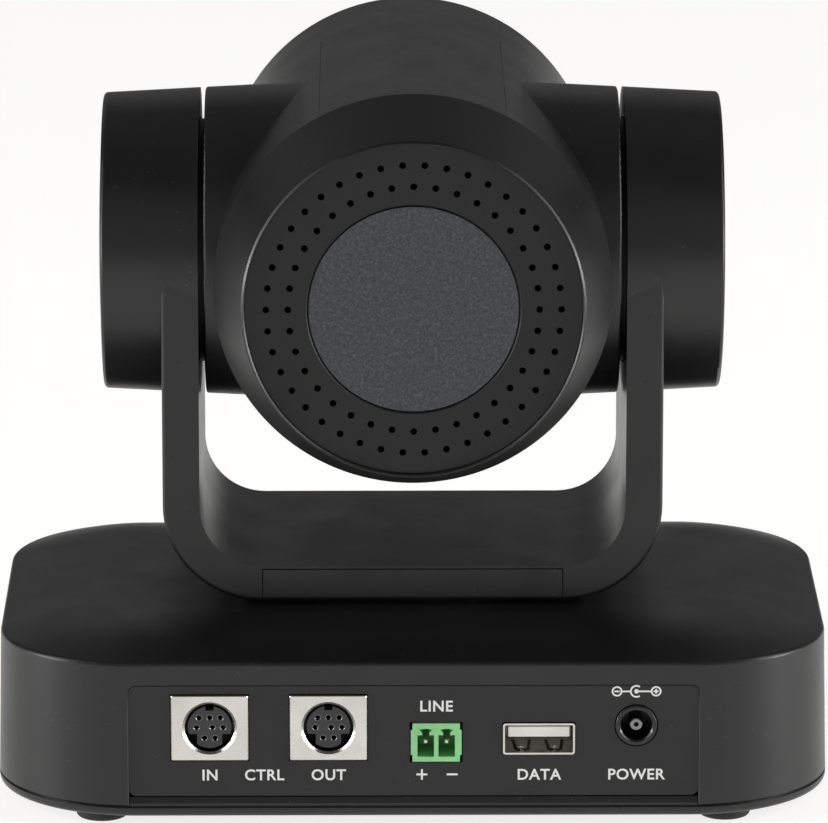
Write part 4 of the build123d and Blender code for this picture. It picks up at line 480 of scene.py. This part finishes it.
def polarity_mark(x, z):
    """The plug-polarity pictogram: two ringed signs joined through a centre contact."""
    line = POLARITY_LINE
    half_span = POLARITY_HALF_SPAN
    ring_r = POLARITY_RING_R
    sign_half = POLARITY_SIGN_HALF
    cup_r = POLARITY_CUP_R
    cup_start, cup_end = POLARITY_CUP_ENDS
    dot_r = POLARITY_DOT_R
    bm = bmesh.new()
    ring_profile = [
        (ring_r - line / 2, panel_face_y - PRINT_THICK),
        (ring_r + line / 2, panel_face_y - PRINT_THICK),
        (ring_r + line / 2, panel_face_y),
        (ring_r - line / 2, panel_face_y),
    ]
    for side in (-1, 1):
        add_ring(bm, ring_profile, (x + side * half_span, z), segments=40)
    add_print(bm, bar_outline(x - half_span - sign_half, x - half_span + sign_half, z, line))
    add_print(bm, cross_outline(x + half_span, z, sign_half, line))
    cup_outer = arc_points(x, z, cup_r + line / 2, cup_start, cup_end, 36)
    cup_inner = arc_points(x, z, cup_r - line / 2, cup_end, cup_start, 36)
    add_print(bm, cup_outer + cup_inner)
    add_print(bm, arc_points(x, z, dot_r, 0, 345, 23))
    add_print(bm, bar_outline(x - half_span + ring_r + line / 2, x - cup_r - line / 2, z, line))
    add_print(bm, bar_outline(x + dot_r, x + half_span - ring_r - line / 2, z, line))
    return piece("polarity_mark", from_bmesh("polarity_mark", bm), "print", "base", smooth=False)


def terminal_signs(x):
    """Plus and minus signs under the two terminals."""
    plus_x = x - PLUS_SHIFT
    minus_x = x + MINUS_SHIFT
    half = SIGN_WIDTH / 2
    bm = bmesh.new()
    add_print(bm, cross_outline(plus_x, LOW_ROW_Z, half, SIGN_LINE))
    add_print(bm, bar_outline(minus_x - half, minus_x + half, LOW_ROW_Z, SIGN_LINE))
    return piece("terminal_signs", from_bmesh("terminal_signs", bm), "print", "base", smooth=False)


def make_legends():
    """All the words and signs on the connector panel."""
    din_in = centre("din_in_shell").x
    din_out = centre("din_out_shell").x
    header = centre("terminal_header").x
    jack = centre("dc_jack_body").x
    legend("legend_in", "IN", din_in, LOW_ROW_Z)
    legend("legend_out", "OUT", din_out, LOW_ROW_Z)
    legend("legend_control", "CTRL", (din_in + din_out) / 2 - CONTROL_SHIFT, LOW_ROW_Z)
    legend("legend_line", "LINE", header, HIGH_ROW_Z)
    legend("legend_data", "DATA", centre("usb_shell").x, LOW_ROW_Z)
    legend("legend_power", "POWER", jack, LOW_ROW_Z)
    terminal_signs(header)
    polarity_mark(jack, POLARITY_Z)


# ---------------------------------------------------------------- connector details

# the eight holes of a mini-DIN core, as (x, z) in millimetres from its middle
DIN_SPOTS = (
    [(-1.95, 1.75), (0.0, 1.75), (1.95, 1.75)]
    + [(-2.4, -0.1), (0.5, -0.1), (2.45, -0.1)]
    + [(-0.98, -2.1), (0.98, -2.1)]
)
DIN_MOUTH_R = 0.60 * MM
DIN_THROAT_R = 0.45 * MM
DIN_BORE_R = 0.43 * MM
DIN_OUTER_R = 0.53 * MM
DIN_PROUD = 0.012 * MM
DIN_FLARE_DEPTH = 0.14 * MM
DIN_CONTACT_DEPTH = 3.6 * MM

USB_SHEET = 0.35 * MM
USB_TONGUE_GAP = 0.55 * MM
USB_TONGUE_HEIGHT = 1.85 * MM
USB_SHELL_HEIGHT = 5.9 * MM
USB_CONTACT_OFFSETS_MM = (-3.5, -1.0, 1.0, 3.5)
USB_CONTACT_HALF_MM = 0.5
USB_CONTACT_START = 1.5 * MM
USB_CONTACT_END = 9.0 * MM
USB_CONTACT_PROUD = 0.12 * MM
USB_CONTACT_SUNK = 0.05 * MM
USB_CONTACT_EDGE = 0.04 * MM
USB_LEAF_OFFSETS_MM = (-3.1, 2.9)
USB_LEAF_START = 1.9 * MM
USB_LEAF_END = 8.2 * MM
USB_LEAF_FREE_HALF = 0.85 * MM
USB_LEAF_ROOT_HALF = 1.25 * MM
USB_LEAF_FREE_RISE = 0.42 * MM
USB_LEAF_ROOT_RISE = 0.10 * MM
USB_LEAF_THICK = 0.10 * MM
USB_DIMPLE_R = 0.42 * MM
USB_DIMPLE_SET_BACK = 0.7 * MM
USB_DIMPLE_RISE = 0.30 * MM
# the slit openings beside the leaf springs are not cut: they are drawn as thin dark strips of painted shade
USB_SLIT = 0.55 * MM
USB_SLIT_SHADE_RISE = 0.03 * MM
USB_SLIT_SHADE_THICK = 0.05 * MM


def din_contacts(name):
    """Flared spring contacts in the eight holes of a mini-DIN core."""
    middle = centre(f"din_{name}_insert")
    face_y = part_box(f"din_{name}_insert")[0].y
    profile = [
        (DIN_MOUTH_R, face_y - DIN_PROUD),
        (DIN_THROAT_R, face_y + DIN_FLARE_DEPTH),
        (DIN_BORE_R, face_y + DIN_CONTACT_DEPTH),
        (DIN_OUTER_R, face_y + DIN_CONTACT_DEPTH),
        (DIN_OUTER_R, face_y),
    ]
    bm = bmesh.new()
    for dx, dz in DIN_SPOTS:
        add_ring(bm, profile, (middle.x + dx * MM, middle.z + dz * MM), segments=28)
    return piece(f"din_{name}_contacts", from_bmesh("contacts", bm), "contact", "base")


def usb_contacts():
    """Four contact strips under the tongue."""
    low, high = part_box("usb_shell")
    middle_x = (low.x + high.x) / 2
    under_z = high.z - USB_SHEET - USB_TONGUE_GAP - USB_TONGUE_HEIGHT
    half = USB_CONTACT_HALF_MM
    bm = bmesh.new()
    for dx in USB_CONTACT_OFFSETS_MM:
        add_block(
            bm,
            (middle_x + (dx - half) * MM, low.y + USB_CONTACT_START, under_z - USB_CONTACT_PROUD),
            (middle_x + (dx + half) * MM, low.y + USB_CONTACT_END, under_z + USB_CONTACT_SUNK),
            USB_CONTACT_EDGE,
        )
    piece("usb_contacts", from_bmesh("usb_contacts", bm), "brass", "base")


def usb_springs():
    """Two leaf springs in the shell's floor, broad at the root, and thin dark strips of painted shade in the slit
    openings beside them.
    """
    low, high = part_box("usb_shell")
    middle_x = (low.x + high.x) / 2
    floor_z = high.z - USB_SHELL_HEIGHT + USB_SHEET
    free_y = low.y + USB_LEAF_START
    root_y = low.y + USB_LEAF_END
    free_half = USB_LEAF_FREE_HALF
    root_half = USB_LEAF_ROOT_HALF
    slit_shade_z = floor_z + USB_SLIT_SHADE_RISE
    leaves = bmesh.new()
    slit_shade_strips = bmesh.new()
    for dx in USB_LEAF_OFFSETS_MM:
        x = middle_x + dx * MM
        add_taper(
            leaves, (x - free_half, x + free_half), (x - root_half, x + root_half), free_y, root_y,
            floor_z + USB_LEAF_FREE_RISE, floor_z + USB_LEAF_ROOT_RISE, USB_LEAF_THICK,
        )
        dimple = Matrix.Translation((x, free_y + USB_DIMPLE_SET_BACK, floor_z + USB_DIMPLE_RISE))
        bmesh.ops.create_uvsphere(
            leaves, u_segments=20, v_segments=12, radius=USB_DIMPLE_R, matrix=dimple,
        )
        # painted shade: a thin dark strip on the floor in each slit opening beside the leaf
        for side in (-1, 1):
            free_edges = sorted((x + side * free_half, x + side * (free_half + USB_SLIT)))
            root_edges = sorted((x + side * root_half, x + side * (root_half + USB_SLIT)))
            add_taper(
                slit_shade_strips, free_edges, root_edges, free_y, root_y, slit_shade_z, slit_shade_z, USB_SLIT_SHADE_THICK,
            )
    piece("usb_springs", from_bmesh("usb_springs", leaves), "nickel", "base")
    piece("usb_slit_painted_shade", from_bmesh("usb_slit_painted_shade", slit_shade_strips), "lens_black", "base")


# ---------------------------------------------------------------- details of the head

FELT_RIM = 3.2 * MM
FELT_INNER_R = 19.6 * MM
FELT_GAP = 0.05 * MM
FELT_THICK = 0.6 * MM

BAFFLE_GROOVES = 7
BAFFLE_STEP_SHARE = 0.62
BAFFLE_STEP_SHIFT = 0.3 * MM
BAFFLE_RIM = 1.2 * MM
BAFFLE_LENS_OVERLAP = 0.4 * MM
BAFFLE_TUBE_INSET = 0.4 * MM
BAFFLE_REAR_GAP = 0.15 * MM
BAFFLE_FRONT_GAP = 0.6 * MM


def vent_felt():
    """Black dust felt behind the vent plate's holes."""
    low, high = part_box("vent_plate")
    outer_r = (high.x - low.x) / 2 - FELT_RIM
    front_y = high.y + FELT_GAP
    rear_y = front_y + FELT_THICK
    profile = [
        (FELT_INNER_R, front_y), (outer_r, front_y), (outer_r, rear_y), (FELT_INNER_R, rear_y),
    ]
    bm = bmesh.new()
    add_ring(bm, profile, (0.0, TILT_AXIS_Z), segments=96)
    piece("vent_felt", from_bmesh("vent_felt", bm), "felt", "head")


def lens_baffle():
    """Grooved black ring between the front lens and the window."""
    tube_low, tube_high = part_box("lens_tube")
    window_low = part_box("front_window")[0]
    lens_r = (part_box("front_lens")[1].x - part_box("front_lens")[0].x) / 2
    inner_r = lens_r - BAFFLE_LENS_OVERLAP
    outer_r = (tube_high.x - tube_low.x) / 2 - BAFFLE_TUBE_INSET
    rear_y = tube_high.y + BAFFLE_REAR_GAP
    front_y = window_low.y - BAFFLE_FRONT_GAP
    slope = outer_r - BAFFLE_RIM - inner_r
    points = [(inner_r, rear_y)]
    for i in range(BAFFLE_GROOVES):
        t0 = i / BAFFLE_GROOVES
        t1 = (i + BAFFLE_STEP_SHARE) / BAFFLE_GROOVES
        y0 = rear_y + (front_y - rear_y) * t0 + BAFFLE_STEP_SHIFT
        points += [(inner_r + slope * t0, y0), (inner_r + slope * t1, y0)]
    points += [(outer_r - BAFFLE_RIM, front_y), (outer_r, front_y), (outer_r, rear_y)]
    bm = bmesh.new()
    add_ring(bm, points, (0.0, TILT_AXIS_Z), segments=144)
    piece("lens_baffle", from_bmesh("lens_baffle", bm), "lens_black", "head")


# ---------------------------------------------------------------- stage, light, camera

FLOOR_HALF = 6.0
FLOOR_DARK = (0.50, 0.50, 0.50)
FLOOR_PALE = (0.53, 0.53, 0.53)
FLOOR_GLOW = (1.0, 0.992, 0.975, 1.0)
FLOOR_GLOW_STRENGTH = 0.80

# each box light: name, azimuth and elevation in degrees, distance, (width, height), radiance
LIGHTS = (
    ("left_box", -77, 24, 1.4, (0.34, 1.3), 4.5),
    ("right_box", 77, 24, 1.4, (0.34, 1.3), 5.0),
    ("left_strip", -79, 3, 1.4, (0.26, 0.16), 45.0),
    ("right_strip", 79, 3, 1.4, (0.26, 0.16), 52.0),
    ("top_box", 180, 78, 1.7, (1.8, 1.2), 0.10),
    ("back_card", 180, 27, 2.5, (4.0, 1.7), 0.18),
    ("front_fill", 0, 27, 2.5, (3.2, 1.7), 0.30),
)
LIGHT_AIM = (0.0, 0.0, 0.06)
WORLD_STRENGTH = 0.06

CAMERA_ELEVATION = math.radians(14.5)
CAMERA_YAW = math.radians(0.422)
CAMERA_TARGET = (0.45 * MM, 0.0, 64.5 * MM)
CAMERA_DISTANCE = 1366.9 * MM
CAMERA_SENSOR = 36.0
CAMERA_LENS = 317.3
CAMERA_FAR = 50.0


def pale_stage():
    """A wide pale floor, bright as a light table is."""
    recipe = Recipe("pale_floor")
    fibre = recipe.noise(600.0, detail=3.0)
    recipe.colour(recipe.mix(recipe.span(fibre, 0.0, 1.0), FLOOR_DARK, FLOOR_PALE))
    recipe.set(Roughness=0.9, Specular_IOR_Level=0.1, Emission_Strength=FLOOR_GLOW_STRENGTH)
    recipe.shader.inputs["Emission Color"].default_value = FLOOR_GLOW
    bm = bmesh.new()
    bmesh.ops.create_grid(bm, x_segments=1, y_segments=1, size=FLOOR_HALF)
    mesh = bpy.data.meshes.new("floor")
    bm.to_mesh(mesh)
    bm.free()
    mesh.materials.append(recipe.material)
    floor = bpy.data.objects.new("floor", mesh)
    bpy.context.scene.collection.objects.link(floor)


def softbox(name, azimuth, elevation, distance, size, radiance):
    """A rectangular box light; azimuth 0 is behind the camera, positive to the right."""
    turn = math.radians(azimuth)
    rise = math.radians(elevation)
    direction = Vector((
        math.sin(turn) * math.cos(rise), -math.cos(turn) * math.cos(rise), math.sin(rise),
    ))
    light = bpy.data.lights.new(name, "AREA")
    light.shape = "RECTANGLE"
    light.size, light.size_y = size
    light.energy = radiance * math.pi * size[0] * size[1]
    obj = bpy.data.objects.new(name, light)
    obj.location = Vector(LIGHT_AIM) + direction * distance
    obj.rotation_euler = (-direction).to_track_quat("-Z", "Y").to_euler()
    bpy.context.scene.collection.objects.link(obj)


def studio_light():
    """The box lights, a dim even surround and a plain view transform."""
    for row in LIGHTS:
        softbox(*row)
    world = bpy.data.worlds.new("studio")
    world.use_nodes = True
    background = world.node_tree.nodes["Background"]
    background.inputs["Color"].default_value = (1.0, 1.0, 1.0, 1.0)
    background.inputs["Strength"].default_value = WORLD_STRENGTH
    bpy.context.scene.world = world
    bpy.context.scene.view_settings.view_transform = "Standard"


def place_camera():
    """Camera behind and above the object, nearly square to the connector panel."""
    forward = Vector((
        math.sin(CAMERA_YAW) * math.cos(CAMERA_ELEVATION),
        math.cos(CAMERA_YAW) * math.cos(CAMERA_ELEVATION),
        -math.sin(CAMERA_ELEVATION),
    ))
    camera = bpy.data.cameras.new("camera")
    camera.sensor_width = CAMERA_SENSOR
    camera.lens = CAMERA_LENS
    camera.clip_end = CAMERA_FAR
    obj = bpy.data.objects.new("camera", camera)
    obj.location = Vector(CAMERA_TARGET) - forward * CAMERA_DISTANCE
    obj.rotation_euler = forward.to_track_quat("-Z", "Y").to_euler()
    bpy.context.scene.collection.objects.link(obj)
    bpy.context.scene.camera = obj


finish_cad_nodes()
make_legends()
for socket_name in ("in", "out"):
    din_contacts(socket_name)
usb_contacts()
usb_springs()
vent_felt()
lens_baffle()
pale_stage()
studio_light()
place_camera()
